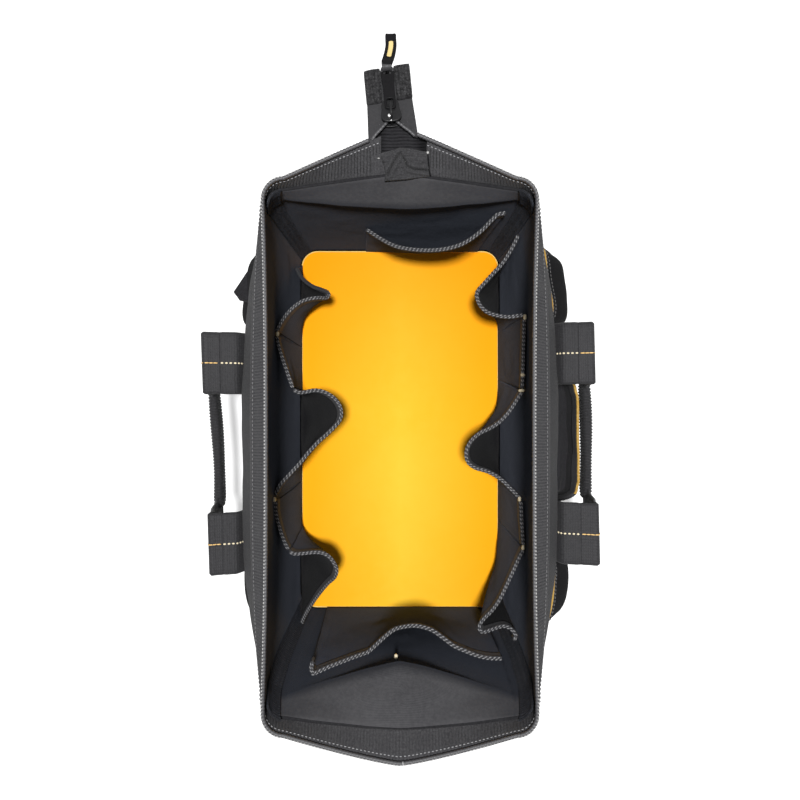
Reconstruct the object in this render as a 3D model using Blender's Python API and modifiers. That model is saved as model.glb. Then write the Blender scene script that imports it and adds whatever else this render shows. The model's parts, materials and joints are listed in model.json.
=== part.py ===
# Open-mouth tool bag: fabric walls on a stiff base, a zip round the mouth,
# pockets inside and outside, two webbing handles, and a zip tab with its slider.
# Lengths are metres. +Z is up, +Y points to the zip tab and +X to the right.
# The origin is the middle of the underside of the base.

import bpy
import bmesh
from math import cos, pi, radians, sin
from mathutils import Vector

# Bag sizes
base_length = 0.406
base_width = 0.228
bag_height = 0.254
base_corner_radius = 0.022
shoulder_corner_radius = 0.014
rim_corner_radius = 0.008

# Heights of the wall above its middle: the shoulder and the seam under the zip tape
shoulder_drop = 0.046
tape_rise = 0.018
waist_height_share = 0.29
chest_height_share = 0.72

# How far each long wall stands out from the base at mid-length, and at its ends
waist_swell = 0.003
chest_swell = 0.010
shoulder_swell = 0.014
top_seam_swell = 0.001
rim_draw_in = 0.0200
shoulder_end_draw_in = 0.002
rim_end_draw_in = 0.0142

# How far each end wall stands out from the base, at its corners and in its middle
tab_chest_corner = -0.002
tab_chest_middle = -0.006
tab_shoulder_corner = -0.006
tab_shoulder_middle = -0.014
tab_seam_corner = -0.014
tab_seam_middle = 0.003
tab_rim_corner = -0.0167
tab_rim_middle = 0.0335
plain_chest_corner = 0.003
plain_chest_middle = -0.013
plain_shoulder_corner = 0.007
plain_shoulder_middle = -0.022
plain_seam_corner = 0.001
plain_seam_middle = 0.0165
plain_rim_corner = -0.0004
plain_rim_middle = 0.0388
tab_end_power = 1.15
plain_end_power = 2.0

# Cloth and clearances
fit_gap = 0.0003
weld_distance = 0.00001
cloth_gap = 0.0006
seam_gap = 0.0012
corner_seam_gap = 0.0020
wall_thickness = 0.003
pocket_thickness = 0.0016

# Base
base_panel_thickness = 0.003
base_board_thickness = 0.003
liner_thickness = 0.002

# Corner bindings inside
binding_thickness = 0.0014
binding_clearance = 0.001
binding_start = radians(24)
binding_end = radians(66)

# Zip
tape_thickness = 0.0012
coil_radius = 0.0016
plain_end_slit = 0.0012

# Inner pockets
side_pocket_height = 0.125
end_pocket_height = 0.150
inner_pocket_edge_gap = 0.0022
inner_pocket_foot_share = 0.10
inner_pocket_sewn_share = 0.05
inner_pocket_row_shares = (inner_pocket_sewn_share, 0.18, 0.45)
inner_pocket_rise_power = 0.75
inner_pocket_round_power = 1.3
flat_pocket_depth = 0.003
end_pocket_depth_tab = 0.022
end_pocket_depth_plain = 0.016
end_pocket_left_tab = 0.036
end_pocket_right_tab = 0.084
end_pocket_left_plain = 0.079
end_pocket_right_plain = 0.084
end_pocket_peak_tab_share = 0.60
end_pocket_peak_plain_share = 0.53

# Outer pockets
outer_pocket_height = 0.150
outer_pocket_edge_gap = 0.0026
bellows_depth_right = 0.044
bellows_depth_left = 0.034
middle_depth_right = 0.034
middle_depth_left = 0.012
piping_radius = 0.0018

# Handles
webbing_width = 0.050
webbing_thickness = 0.003
strap_spacing = 0.145
handle_middle_y = -0.0065
handle_hinge_drop = 0.0015
wall_setback = 0.0015
ridge_setback = 0.0019
tail_length = 0.0315
tail_rise = radians(14.5)
loop_fall = radians(96.5)
grip_drop = 0.079
grip_webbing_height = 0.026
outer_bend_radius = 0.038
inner_bend_radius = 0.008
grip_length = 0.078
grip_height = 0.032
grip_thickness = 0.013
grip_round = 0.005

# Zip tab
tab_width = 0.035
tab_length = 0.054
tab_middle_x = -0.0051
tab_skew = radians(5.4)
tab_droop = radians(6)
tab_round = 0.003
tab_coil_radius = 0.0019
tab_slot = 0.0026
tab_vee_width = 0.024
tab_vee_length = 0.0095
tab_start = 0.0008
tape_flare = 0.0011
cap_length = 0.0261
cap_wall = 0.0015
cap_channel = 0.0118

# Slider
slider_length = 0.014
slider_cap_gap = 0.0027
slider_width = 0.0156
slider_plate = 0.0015
slider_post_width = 0.002
slider_post_length = 0.003
slider_bottom_trim = 0.0008
flange_length = 0.005
bridge_width = 0.0028
bridge_length = 0.0092
bridge_wall = 0.0014
bridge_clear_height = 0.0026

# Pull
link_width = 0.0098
link_length = 0.0340
link_thickness = 0.0016
link_eye_length = 0.0062
link_eye_width = 0.0046
link_bar = 0.0017
strap_eye_length = 0.0050
strap_eye_width = 0.0060
pull_length = 0.0245
pull_width = 0.0082
pull_round = 0.0012
pull_thickness = 0.0026
pull_loop_width = 0.0052
pull_loop_wall = 0.0012
pull_bar_length = 0.0125
pull_bar_width = 0.0042
pull_bar_margin = 0.0052
pull_bar_depth = 0.0011

# Mesh counts
side_columns = 12
end_columns = 6
arc_columns = 4
pocket_columns = 9

# Inner pocket places on each long wall, as shares of half the base length from its middle,
# with the peak of each open pocket as a share of its own width and its depth in metres
right_pocket_edge_shares = (-0.895, -0.49, -0.27, 0.27, 0.53, 0.895)
left_pocket_edge_shares = (-0.895, -0.51, -0.28, 0.21, 0.45, 0.895)
right_peak_shares = (0.16, 0.5, 0.35, 0.5, 0.30)
left_peak_shares = (0.78, 0.5, 0.76, 0.5, 0.42)
right_tab_depth = 0.044
right_middle_depth = 0.060
right_plain_depth = 0.040
left_tab_depth = 0.048
left_middle_depth = 0.064
left_plain_depth = 0.056

# Stand-out of an outer pocket up its height, as (height share, depth share)
bellows_rise_shares = (
    (0.0, 0.20), (0.3, 0.80), (0.6, 1.0), (0.8, 0.75), (0.94, 0.30), (1.0, 0.30),
)
middle_rise_shares = (
    (0.0, 0.45), (0.3, 0.80), (0.6, 1.0), (0.8, 1.0), (0.94, 1.0), (1.0, 1.0),
)

# Stand-out of an outer pocket across its width, as (width share, depth share)
boxy_plan_shares = (
    (0.0, 0.0), (0.03, 0.45), (0.09, 0.75), (0.20, 0.93), (0.35, 1.0), (0.5, 1.0),
    (0.65, 1.0), (0.80, 0.93), (0.91, 0.75), (0.97, 0.45), (1.0, 0.0),
)

# Sizes that follow from the ones above
half_length = base_length / 2
half_width = base_width / 2
shoulder_height = bag_height - shoulder_drop
handle_hinge_height = shoulder_height - handle_hinge_drop
top_seam_height = bag_height - tape_rise
wall_foot = base_panel_thickness + fit_gap
board_foot = wall_foot
liner_foot = board_foot + base_board_thickness + fit_gap
inner_floor = liner_foot + liner_thickness + fit_gap
tape_top = bag_height - 2 * coil_radius - tape_thickness - fit_gap
bow_reach = half_length - base_corner_radius
outer_pocket_foot = wall_foot

wall_levels = (
    dict(height=0.0, side=half_width, corner=half_width, radius=base_corner_radius,
         tab_corner=half_length, tab_middle=half_length,
         plain_corner=half_length, plain_middle=half_length),
    dict(height=shoulder_height * waist_height_share,
         side=half_width + waist_swell, corner=half_width, radius=base_corner_radius,
         tab_corner=half_length, tab_middle=half_length,
         plain_corner=half_length, plain_middle=half_length),
    dict(height=shoulder_height * chest_height_share,
         side=half_width + chest_swell, corner=half_width,
         radius=(base_corner_radius + shoulder_corner_radius) / 2,
         tab_corner=half_length + tab_chest_corner, tab_middle=half_length + tab_chest_middle,
         plain_corner=half_length + plain_chest_corner,
         plain_middle=half_length + plain_chest_middle),
    dict(height=shoulder_height,
         side=half_width + shoulder_swell, corner=half_width - shoulder_end_draw_in,
         radius=shoulder_corner_radius,
         tab_corner=half_length + tab_shoulder_corner,
         tab_middle=half_length + tab_shoulder_middle,
         plain_corner=half_length + plain_shoulder_corner,
         plain_middle=half_length + plain_shoulder_middle),
    dict(height=top_seam_height,
         side=half_width + top_seam_swell, corner=half_width - shoulder_end_draw_in,
         radius=(shoulder_corner_radius + rim_corner_radius) / 2,
         tab_corner=half_length + tab_seam_corner, tab_middle=half_length + tab_seam_middle,
         plain_corner=half_length + plain_seam_corner,
         plain_middle=half_length + plain_seam_middle),
    dict(height=bag_height,
         side=half_width - rim_draw_in, corner=half_width - rim_end_draw_in,
         radius=rim_corner_radius,
         tab_corner=half_length + tab_rim_corner, tab_middle=half_length + tab_rim_middle,
         plain_corner=half_length + plain_rim_corner,
         plain_middle=half_length + plain_rim_middle),
)


def lerp(start, end, share):
    return start + (end - start) * share


def wall_section(height):
    # Plan sizes of the walls at a height, between the two nearest levels
    for low, high in zip(wall_levels, wall_levels[1:]):
        if height <= high["height"]:
            break
    share = (height - low["height"]) / (high["height"] - low["height"])
    return {key: lerp(low[key], high[key], share) for key in low}


def side_x(y, height):
    # Outer face of a long wall, bowed outwards round the handles
    section = wall_section(height)
    offset = min(1, abs(y - handle_middle_y) / bow_reach)
    return lerp(section["corner"], section["side"], 1 - offset * offset)


def end_y(x, height, end):
    # Outer face of an end wall: end is 1 at the zip tab and -1 at the plain end
    section = wall_section(height)
    name, power = ("tab", tab_end_power) if end > 0 else ("plain", plain_end_power)
    offset = min(1, abs(x) / (section["corner"] - section["radius"]))
    corner, middle = section[name + "_corner"], section[name + "_middle"]
    return end * lerp(corner, middle, 1 - offset ** power)


def corner_point(angle, height, end, inset):
    # Point on a wall's rounded corner: angle 0 meets the end wall, pi / 2 the long wall
    section = wall_section(height)
    corner_y = section["tab_corner"] if end > 0 else section["plain_corner"]
    radius = section["radius"]
    x = section["corner"] - radius + (radius - inset) * sin(angle)
    y = corner_y - radius + (radius - inset) * cos(angle)
    return x, end * y


def long_wall_run(height):
    # Plan points of one long wall with both of its corners, from the plain end
    section = wall_section(height)
    points = []
    for k in range(arc_columns + 1):
        points.append(corner_point(pi / 2 * k / arc_columns, height, -1, 0))
    low_y = -(section["plain_corner"] - section["radius"])
    high_y = section["tab_corner"] - section["radius"]
    for k in range(1, side_columns):
        y = lerp(low_y, high_y, k / side_columns)
        points.append((side_x(y, height), y))
    for k in range(arc_columns, -1, -1):
        points.append(corner_point(pi / 2 * k / arc_columns, height, 1, 0))
    return points


def end_wall_run(height, end, start_x, stop_x):
    # Plan points of an end wall between two places across the bag
    points = []
    for k in range(end_columns + 1):
        x = lerp(start_x, stop_x, k / end_columns)
        points.append((x, end_y(x, height, end)))
    return points


def wall_rows(low, high, shares=()):
    # Heights between two levels, with each fold of the wall that lies between them
    folds = [level["height"] for level in wall_levels if low < level["height"] < high]
    extra = [lerp(low, high, share) for share in shares if 0 < share < 1]
    rows = sorted([low, high] + folds + extra)
    kept = rows[:1]
    for row in rows[1:]:
        if row - kept[-1] > cloth_gap:
            kept.append(row)
    return kept


def table_value(table, share):
    for (low, first), (high, second) in zip(table, table[1:]):
        if share <= high:
            return lerp(first, second, (share - low) / (high - low))
    return table[-1][1]


# Scene set-up
for item in list(bpy.data.objects):
    bpy.data.objects.remove(item, do_unlink=True)
bag = bpy.data.collections.new("tool_bag")
cutters = bpy.data.collections.new("cutters")
bpy.context.scene.collection.children.link(bag)
bpy.context.scene.collection.children.link(cutters)


def cloth_material(name, colour, roughness, metallic=0.0):
    made = bpy.data.materials.new(name)
    made.use_nodes = True
    shader = made.node_tree.nodes["Principled BSDF"]
    shader.inputs["Base Color"].default_value = (*colour, 1)
    shader.inputs["Roughness"].default_value = roughness
    shader.inputs["Metallic"].default_value = metallic
    return made


body_cloth = cloth_material("body_cloth", (0.042, 0.041, 0.045), 0.85)
pocket_cloth = cloth_material("pocket_cloth", (0.032, 0.031, 0.034), 0.85)
yellow_cloth = cloth_material("yellow_cloth", (0.95, 0.50, 0.03), 0.8)
webbing = cloth_material("webbing", (0.058, 0.057, 0.062), 0.75)
grosgrain = cloth_material("grosgrain", (0.03, 0.03, 0.032), 0.8)
yellow_piping = cloth_material("yellow_piping", (0.80, 0.42, 0.05), 0.7)
zip_tape_cloth = cloth_material("zip_tape_cloth", (0.05, 0.05, 0.054), 0.8)
coil_plastic = cloth_material("coil_plastic", (0.06, 0.06, 0.065), 0.45)
board_plastic = cloth_material("board_plastic", (0.05, 0.05, 0.05), 0.6)
slider_metal = cloth_material("slider_metal", (0.015, 0.015, 0.016), 0.3, 1.0)
pull_rubber = cloth_material("pull_rubber", (0.02, 0.02, 0.022), 0.5)
bar_plastic = cloth_material("bar_plastic", (0.93, 0.74, 0.30), 0.5)


def add_object(name, data, finish, collection=bag, parent=None):
    made = bpy.data.objects.new(name, data)
    collection.objects.link(made)
    made.parent = parent
    if finish:
        data.materials.append(finish)
    if collection is cutters:
        made.hide_render = True
        made.display_type = "WIRE"
    return made


def add_axis(name, location, rotation, parent=None):
    made = add_object(name, None, None, bag, parent)
    made.location = location
    made.rotation_euler = rotation
    return made


def add_sheet(name, rows, thickness, side, finish):
    # Cloth panel from rows of points, thickened away from side -1 or towards side 1
    # of its face; rows run upwards and each row runs anticlockwise seen from above
    mesh = bpy.data.meshes.new(name)
    grid = bmesh.new()
    points = [[grid.verts.new(point) for point in row] for row in rows]
    for low, high in zip(points, points[1:]):
        for k in range(len(low) - 1):
            grid.faces.new((low[k], low[k + 1], high[k + 1], high[k]))
    grid.to_mesh(mesh)
    grid.free()
    made = add_object(name, mesh, finish)
    shell = made.modifiers.new("cloth thickness", "SOLIDIFY")
    shell.thickness = thickness
    shell.offset = side
    return made


def on_side(side, rows):
    # Rows written for the right side, turned to face outwards on either side
    if side > 0:
        return [[Vector(point) for point in row] for row in rows]
    return [[Vector((-x, y, z)) for x, y, z in reversed(row)] for row in rows]


def add_outline(name, outlines, thickness, finish, collection=bag, parent=None):
    # Flat outline, with any further outlines as holes, thickened about its plane
    curve = bpy.data.curves.new(name, "CURVE")
    curve.dimensions = "2D"
    curve.fill_mode = "BOTH"
    curve.extrude = thickness / 2
    for outline in outlines:
        spline = curve.splines.new("POLY")
        spline.points.add(len(outline) - 1)
        for point, (x, y) in zip(spline.points, outline):
            point.co = (x, y, 0, 1)
        spline.use_cyclic_u = True
    return add_object(name, curve, finish, collection, parent)


def add_tube(name, points, radius, finish, parent=None):
    curve = bpy.data.curves.new(name, "CURVE")
    curve.dimensions = "3D"
    curve.bevel_depth = radius
    curve.bevel_resolution = 2
    curve.use_fill_caps = True
    spline = curve.splines.new("POLY")
    spline.points.add(len(points) - 1)
    for point, place in zip(spline.points, points):
        point.co = (*place, 1)
    return add_object(name, curve, finish, bag, parent)


def add_block(name, low, high, finish, collection=bag, parent=None):
    # Block between two corners, with its origin in its middle
    mesh = bpy.data.meshes.new(name)
    block = bmesh.new()
    bmesh.ops.create_cube(block, size=1)
    size = Vector(high) - Vector(low)
    bmesh.ops.scale(block, vec=size, verts=block.verts)
    block.to_mesh(mesh)
    block.free()
    made = add_object(name, mesh, finish, collection, parent)
    made.location = (Vector(high) + Vector(low)) / 2
    return made


def to_mesh_object(source):
    # Turns a curve into a welded mesh at the same place, so that it can be cut or joined
    bpy.context.view_layer.update()
    graph = bpy.context.evaluated_depsgraph_get()
    mesh = bpy.data.meshes.new_from_object(source.evaluated_get(graph))
    weld = bmesh.new()
    weld.from_mesh(mesh)
    bmesh.ops.remove_doubles(weld, verts=weld.verts, dist=weld_distance)
    weld.to_mesh(mesh)
    weld.free()
    name = source.name
    collection = source.users_collection[0]
    place = source.matrix_world.copy()
    bpy.data.objects.remove(source, do_unlink=True)
    made = add_object(name, mesh, None, collection)
    made.matrix_world = place
    return made


def combine(target, tool, operation):
    step = target.modifiers.new(tool.name, "BOOLEAN")
    step.operation = operation
    step.solver = "EXACT"
    step.object = tool


def rounded_rectangle(half_x, half_y, radius, steps=4):
    points = []
    for turn, (sign_x, sign_y) in enumerate(((1, 1), (-1, 1), (-1, -1), (1, -1))):
        for k in range(steps + 1):
            angle = pi / 2 * (turn + k / steps)
            x = sign_x * (half_x - radius) + radius * cos(angle)
            y = sign_y * (half_y - radius) + radius * sin(angle)
            points.append((x, y))
    return points


# Base: outer panel, stiffening board and yellow lining
def add_base_layer(name, inset, low, thickness, finish):
    outline = rounded_rectangle(half_width - inset, half_length - inset,
                                base_corner_radius - inset)
    made = add_outline(name, [outline], thickness, finish)
    made.location.z = low + thickness / 2


inner_inset = wall_thickness + seam_gap
add_base_layer("base_panel", 0, 0, base_panel_thickness, body_cloth)
add_base_layer("base_board", inner_inset, board_foot, base_board_thickness, board_plastic)
add_base_layer("bottom_lining", inner_inset, liner_foot, liner_thickness, yellow_cloth)


# Walls
def add_long_wall(name, side):
    rows = []
    for height in wall_rows(wall_foot, top_seam_height):
        rows.append([(x, y, height) for x, y in long_wall_run(height)])
    add_sheet(name, on_side(side, rows), wall_thickness, -1, body_cloth)


def add_end_wall(name, end):
    rows = []
    for height in wall_rows(wall_foot, top_seam_height):
        section = wall_section(height)
        reach = section["corner"] - section["radius"] - corner_seam_gap
        run = end_wall_run(height, end, end * reach, 0) + end_wall_run(height, end, 0, -end * reach)[1:]
        rows.append([(x, y, height) for x, y in run])
    add_sheet(name, rows, wall_thickness, -1, body_cloth)


add_long_wall("side_wall_right", 1)
add_long_wall("side_wall_left", -1)
add_end_wall("end_wall_tab", 1)
add_end_wall("end_wall_plain", -1)


# Grosgrain bindings down the inside of the four corners
def add_corner_binding(name, side, end):
    inset = wall_thickness + binding_clearance
    rows = []
    for height in wall_rows(inner_floor, shoulder_height):
        angles = [lerp(binding_start, binding_end, k / arc_columns) for k in range(arc_columns + 1)]
        run = [corner_point(angle, height, end, inset) for angle in angles]
        if end > 0:
            run.reverse()
        rows.append([(x, y, height) for x, y in run])
    add_sheet(name, on_side(side, rows), binding_thickness, -1, grosgrain)


for side, side_name in ((1, "right"), (-1, "left")):
    for end, end_name in ((1, "tab"), (-1, "plain")):
        add_corner_binding("corner_binding_" + side_name + "_" + end_name, side, end)


# Inner pockets: five along each long wall and one on each end wall
def pouch_plan(share, peak):
    reach = peak if share < peak else 1 - peak
    return 1 - abs((share - peak) / reach) ** inner_pocket_round_power


def pouch_rise(share):
    # Upright along its sewn foot, then swelling out towards the hem
    free = max(0, share - inner_pocket_sewn_share) / (1 - inner_pocket_sewn_share)
    return lerp(inner_pocket_foot_share, 1, free ** inner_pocket_rise_power)


def pocket_shares(peak):
    # Column places across a pocket, with one on its peak
    middle = pocket_columns // 2
    before = [peak * k / middle for k in range(middle + 1)]
    after = [lerp(peak, 1, k / (pocket_columns - middle)) for k in range(1, pocket_columns - middle + 1)]
    return before + after


def add_side_pocket(name, side, low_y, high_y, peak, depth):
    rows = []
    for height in wall_rows(inner_floor, side_pocket_height, inner_pocket_row_shares):
        rise = pouch_rise((height - inner_floor) / (side_pocket_height - inner_floor))
        row = []
        for share in pocket_shares(peak):
            y = lerp(low_y, high_y, share)
            inner_face = side_x(y, height) - wall_thickness - cloth_gap
            row.append((inner_face - depth * rise * pouch_plan(share, peak), y, height))
        rows.append(row)
    add_sheet(name, on_side(side, rows), pocket_thickness, -1, pocket_cloth)


def add_side_pockets(side, side_name, edge_shares, peak_shares, depths):
    edges = [share * half_length for share in edge_shares]
    for k, (low, high) in enumerate(zip(edges, edges[1:])):
        name = "inner_pocket_" + side_name + "_" + str(k + 1)
        add_side_pocket(name, side, low + inner_pocket_edge_gap, high - inner_pocket_edge_gap,
                        peak_shares[k], depths[k])


add_side_pockets(1, "right", right_pocket_edge_shares, right_peak_shares,
                 (right_plain_depth, flat_pocket_depth, right_middle_depth,
                  flat_pocket_depth, right_tab_depth))
add_side_pockets(-1, "left", left_pocket_edge_shares, left_peak_shares,
                 (left_plain_depth, flat_pocket_depth, left_middle_depth,
                  flat_pocket_depth, left_tab_depth))


def add_end_pocket(name, end, left_x, right_x, peak, depth):
    rows = []
    for height in wall_rows(inner_floor, end_pocket_height, inner_pocket_row_shares):
        rise = pouch_rise((height - inner_floor) / (end_pocket_height - inner_floor))
        row = []
        for share in pocket_shares(peak):
            x = lerp(left_x, right_x, share)
            inner_face = abs(end_y(x, height, end)) - wall_thickness - 2 * cloth_gap
            y = end * (inner_face - depth * rise * pouch_plan(share, peak))
            row.append((x, y, height))
        if end > 0:
            row.reverse()
        rows.append(row)
    add_sheet(name, rows, pocket_thickness, -1, pocket_cloth)


add_end_pocket("inner_pocket_tab_end", 1, -end_pocket_left_tab, end_pocket_right_tab,
               end_pocket_peak_tab_share, end_pocket_depth_tab)
add_end_pocket("inner_pocket_plain_end", -1, -end_pocket_left_plain, end_pocket_right_plain,
               end_pocket_peak_plain_share, end_pocket_depth_plain)


# Outer pockets with their piping: one between the handle straps and one on each side of them
def outer_pocket_point(low_y, high_y, depth, rise_shares, share, height, lift=0):
    y = lerp(low_y, high_y, share)
    rise = table_value(rise_shares,
                       (height - outer_pocket_foot) / (outer_pocket_height - outer_pocket_foot))
    stand_out = depth * rise * table_value(boxy_plan_shares, share)
    return side_x(y, height) + cloth_gap + lift + stand_out, y


def add_outer_pocket(place, side, side_name, low_y, high_y, depth, rise_shares):
    rows = []
    row_shares = [share for share, rise in rise_shares]
    for height in wall_rows(outer_pocket_foot, outer_pocket_height, row_shares):
        row = []
        for share, stand in boxy_plan_shares:
            x, y = outer_pocket_point(low_y, high_y, depth, rise_shares, share, height)
            row.append((x, y, height))
        rows.append(row)
    add_sheet("outer_pocket_" + side_name + "_" + place, on_side(side, rows),
              pocket_thickness, 1, pocket_cloth)
    piping_height = outer_pocket_height + piping_radius + fit_gap
    piping = []
    for share, stand in boxy_plan_shares:
        x, y = outer_pocket_point(low_y, high_y, depth, rise_shares, share, outer_pocket_height,
                                  piping_radius)
        piping.append((side * x, y, piping_height))
    add_tube("pocket_piping_" + side_name + "_" + place, piping, piping_radius, yellow_piping)


strap_reach = strap_spacing / 2 + webbing_width / 2
strap_inner_reach = strap_spacing / 2 - webbing_width / 2
pocket_end = half_length - base_corner_radius - outer_pocket_edge_gap
tab_pocket_start = handle_middle_y + strap_reach + outer_pocket_edge_gap
plain_pocket_start = handle_middle_y - strap_reach - outer_pocket_edge_gap
middle_pocket_reach = strap_inner_reach - outer_pocket_edge_gap
for side, side_name, bellows_depth, middle_depth in (
        (1, "right", bellows_depth_right, middle_depth_right),
        (-1, "left", bellows_depth_left, middle_depth_left)):
    add_outer_pocket("tab", side, side_name, tab_pocket_start, pocket_end,
                     bellows_depth, bellows_rise_shares)
    add_outer_pocket("middle", side, side_name, handle_middle_y - middle_pocket_reach,
                     handle_middle_y + middle_pocket_reach, middle_depth, middle_rise_shares)
    add_outer_pocket("plain", side, side_name, -pocket_end, plain_pocket_start,
                     bellows_depth, bellows_rise_shares)


# Zip tapes and coils round the mouth, in two halves
tab_half = tab_width / 2


def half_rim(height, side):
    # Plan points of one half of the mouth, from the plain end to the zip tab
    section = wall_section(height)
    flat_reach = section["corner"] - section["radius"]
    tab_edge = tab_half + side * tab_middle_x + fit_gap
    plain = end_wall_run(height, -1, plain_end_slit / 2, flat_reach)
    tab = end_wall_run(height, 1, flat_reach, tab_edge)
    return plain[:-1] + long_wall_run(height) + tab[1:]


for side, side_name in ((1, "right"), (-1, "left")):
    tape_rows = []
    for height in (top_seam_height + seam_gap, tape_top):
        tape_rows.append([(x, y, height) for x, y in half_rim(height, side)])
    add_sheet("zip_tape_" + side_name, on_side(side, tape_rows), tape_thickness, -1, zip_tape_cloth)
    coil_height = bag_height - coil_radius
    coil = [(side * x, y, coil_height) for x, y in half_rim(tape_top, side)]
    add_tube("zip_coil_" + side_name, coil, coil_radius, coil_plastic)

# Gusset cloth that closes the point of the mouth under the zip tab
gusset_rows = []
for height in (top_seam_height + seam_gap, tape_top):
    run = end_wall_run(height, 1, tab_half + tab_middle_x - fit_gap,
                       tab_middle_x - tab_half + fit_gap)
    gusset_rows.append([(x, y, height) for x, y in run])
add_sheet("tab_gusset", gusset_rows, tape_thickness, -1, pocket_cloth)


# Handle straps sewn down the long walls
def add_wall_strap(name, side, middle_y):
    rows = []
    for height in wall_rows(wall_foot, handle_hinge_height - wall_setback):
        row = []
        for k in (0, 1, 2):
            y = lerp(middle_y - webbing_width / 2, middle_y + webbing_width / 2, k / 2)
            row.append((side_x(y, height) + cloth_gap, y, height))
        rows.append(row)
    add_sheet(name, on_side(side, rows), webbing_thickness, 1, webbing)


strap_places = (("tab", handle_middle_y + strap_spacing / 2),
                ("plain", handle_middle_y - strap_spacing / 2))
hinge_x = side_x(handle_middle_y + strap_inner_reach, handle_hinge_height) + cloth_gap + webbing_thickness / 2


# Handles: two strap tails and one webbing loop with its grip on each side
def arc(middle_x, middle_y, radius, start, stop, steps=6):
    points = []
    for k in range(steps + 1):
        angle = lerp(start, stop, k / steps)
        points.append((middle_x + radius * cos(angle), middle_y + radius * sin(angle)))
    return points


def loop_outline():
    # Drawn with x running down from the hinge line and y along the bag
    low = grip_drop + grip_webbing_height / 2
    high = grip_drop - grip_webbing_height / 2
    outer = strap_reach - outer_bend_radius
    inner = strap_inner_reach - inner_bend_radius
    points = [(ridge_setback, strap_inner_reach), (ridge_setback, strap_reach)]
    points += arc(low - outer_bend_radius, outer, outer_bend_radius, pi / 2, 0)
    points += arc(low - outer_bend_radius, -outer, outer_bend_radius, 0, -pi / 2)
    points += [(ridge_setback, -strap_reach), (ridge_setback, -strap_inner_reach)]
    points += arc(high - inner_bend_radius, -inner, inner_bend_radius, -pi / 2, 0)
    points += arc(high - inner_bend_radius, inner, inner_bend_radius, 0, pi / 2)
    return points


def add_handle(side, side_name):
    turn = 0 if side > 0 else pi
    wall_axis = add_axis("handle_axis_" + side_name, (side * hinge_x, handle_middle_y, handle_hinge_height),
                         (0, -tail_rise, turn))
    for place, middle_y in strap_places:
        across = side * (middle_y - handle_middle_y)
        add_block("handle_tail_" + side_name + "_" + place,
                  (wall_setback, across - webbing_width / 2, -webbing_thickness / 2),
                  (tail_length - ridge_setback, across + webbing_width / 2, webbing_thickness / 2),
                  webbing, bag, wall_axis)
    ridge_axis = add_axis("handle_ridge_axis_" + side_name, (tail_length, 0, 0), (0, loop_fall, 0), wall_axis)
    add_outline("handle_webbing_" + side_name, [loop_outline()], webbing_thickness, webbing,
                bag, ridge_axis)
    slot = [(-grip_webbing_height / 2 - fit_gap, -webbing_thickness / 2 - fit_gap),
            (grip_webbing_height / 2 + fit_gap, -webbing_thickness / 2 - fit_gap),
            (grip_webbing_height / 2 + fit_gap, webbing_thickness / 2 + fit_gap),
            (-grip_webbing_height / 2 - fit_gap, webbing_thickness / 2 + fit_gap)]
    rim = rounded_rectangle(grip_height / 2, grip_thickness / 2, grip_round)
    grip = add_outline("handle_grip_" + side_name, [rim, slot], grip_length, webbing, bag, ridge_axis)
    grip.location.x = grip_drop
    grip.rotation_euler.x = pi / 2


for side, side_name in ((1, "right"), (-1, "left")):
    for place, middle_y in strap_places:
        add_wall_strap("wall_strap_" + side_name + "_" + place, side, middle_y)
    add_handle(side, side_name)


# Zip tab. Its frame has y running out along the tab and z up, with the tape's middle at z 0
rim_point = end_y(tab_middle_x, tape_top, 1)
tab_hinge = (tab_middle_x, rim_point + tape_thickness, tape_top)
tab_axis = add_axis("tab_axis", tab_hinge, (-tab_droop, 0, tab_skew))
tape_half = tape_thickness / 2
tape_edge = tab_half - cap_wall
tape_foot = tape_edge + tape_flare
cap_start = tab_length - cap_length
cap_inside = tab_length - cap_wall
tape_end = cap_inside - fit_gap
vee_end = tab_start + tab_vee_length
slot_end = tape_end - tab_vee_length / 2
vee_half = tab_vee_width / 2


def tape_root(x):
    # Where the tab's tapes meet the edge of the gusset cloth, at a place across the tab
    edge_y = end_y(tab_middle_x + x * cos(tab_skew), tape_top, 1)
    return (edge_y - tab_hinge[1] - x * sin(tab_skew)) / cos(tab_skew) + cloth_gap


tape_outline = [
    (-vee_half, tape_root(-vee_half)), (-tab_slot / 2, vee_end), (-tab_slot / 2, slot_end),
    (tab_slot / 2, slot_end), (tab_slot / 2, vee_end), (vee_half, tape_root(vee_half)),
    (tape_foot, tape_root(tape_foot)), (tape_edge, cap_start), (tape_edge, tape_end),
    (-tape_edge, tape_end), (-tape_edge, cap_start), (-tape_foot, tape_root(-tape_foot)),
]
add_outline("tab_tapes", [tape_outline], tape_thickness, zip_tape_cloth, bag, tab_axis)

tab_coil_x = tab_slot / 2 + tab_coil_radius
tab_coil_z = tape_half + fit_gap + tab_coil_radius
for side, side_name in ((1, "right"), (-1, "left")):
    spread = vee_half + tab_coil_radius
    path = [(side * spread, tab_start, tab_coil_z), (side * tab_coil_x, vee_end, tab_coil_z),
            (side * tab_coil_x, tape_end, tab_coil_z)]
    add_tube("tab_coil_" + side_name, path, tab_coil_radius, coil_plastic, tab_axis)

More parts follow.
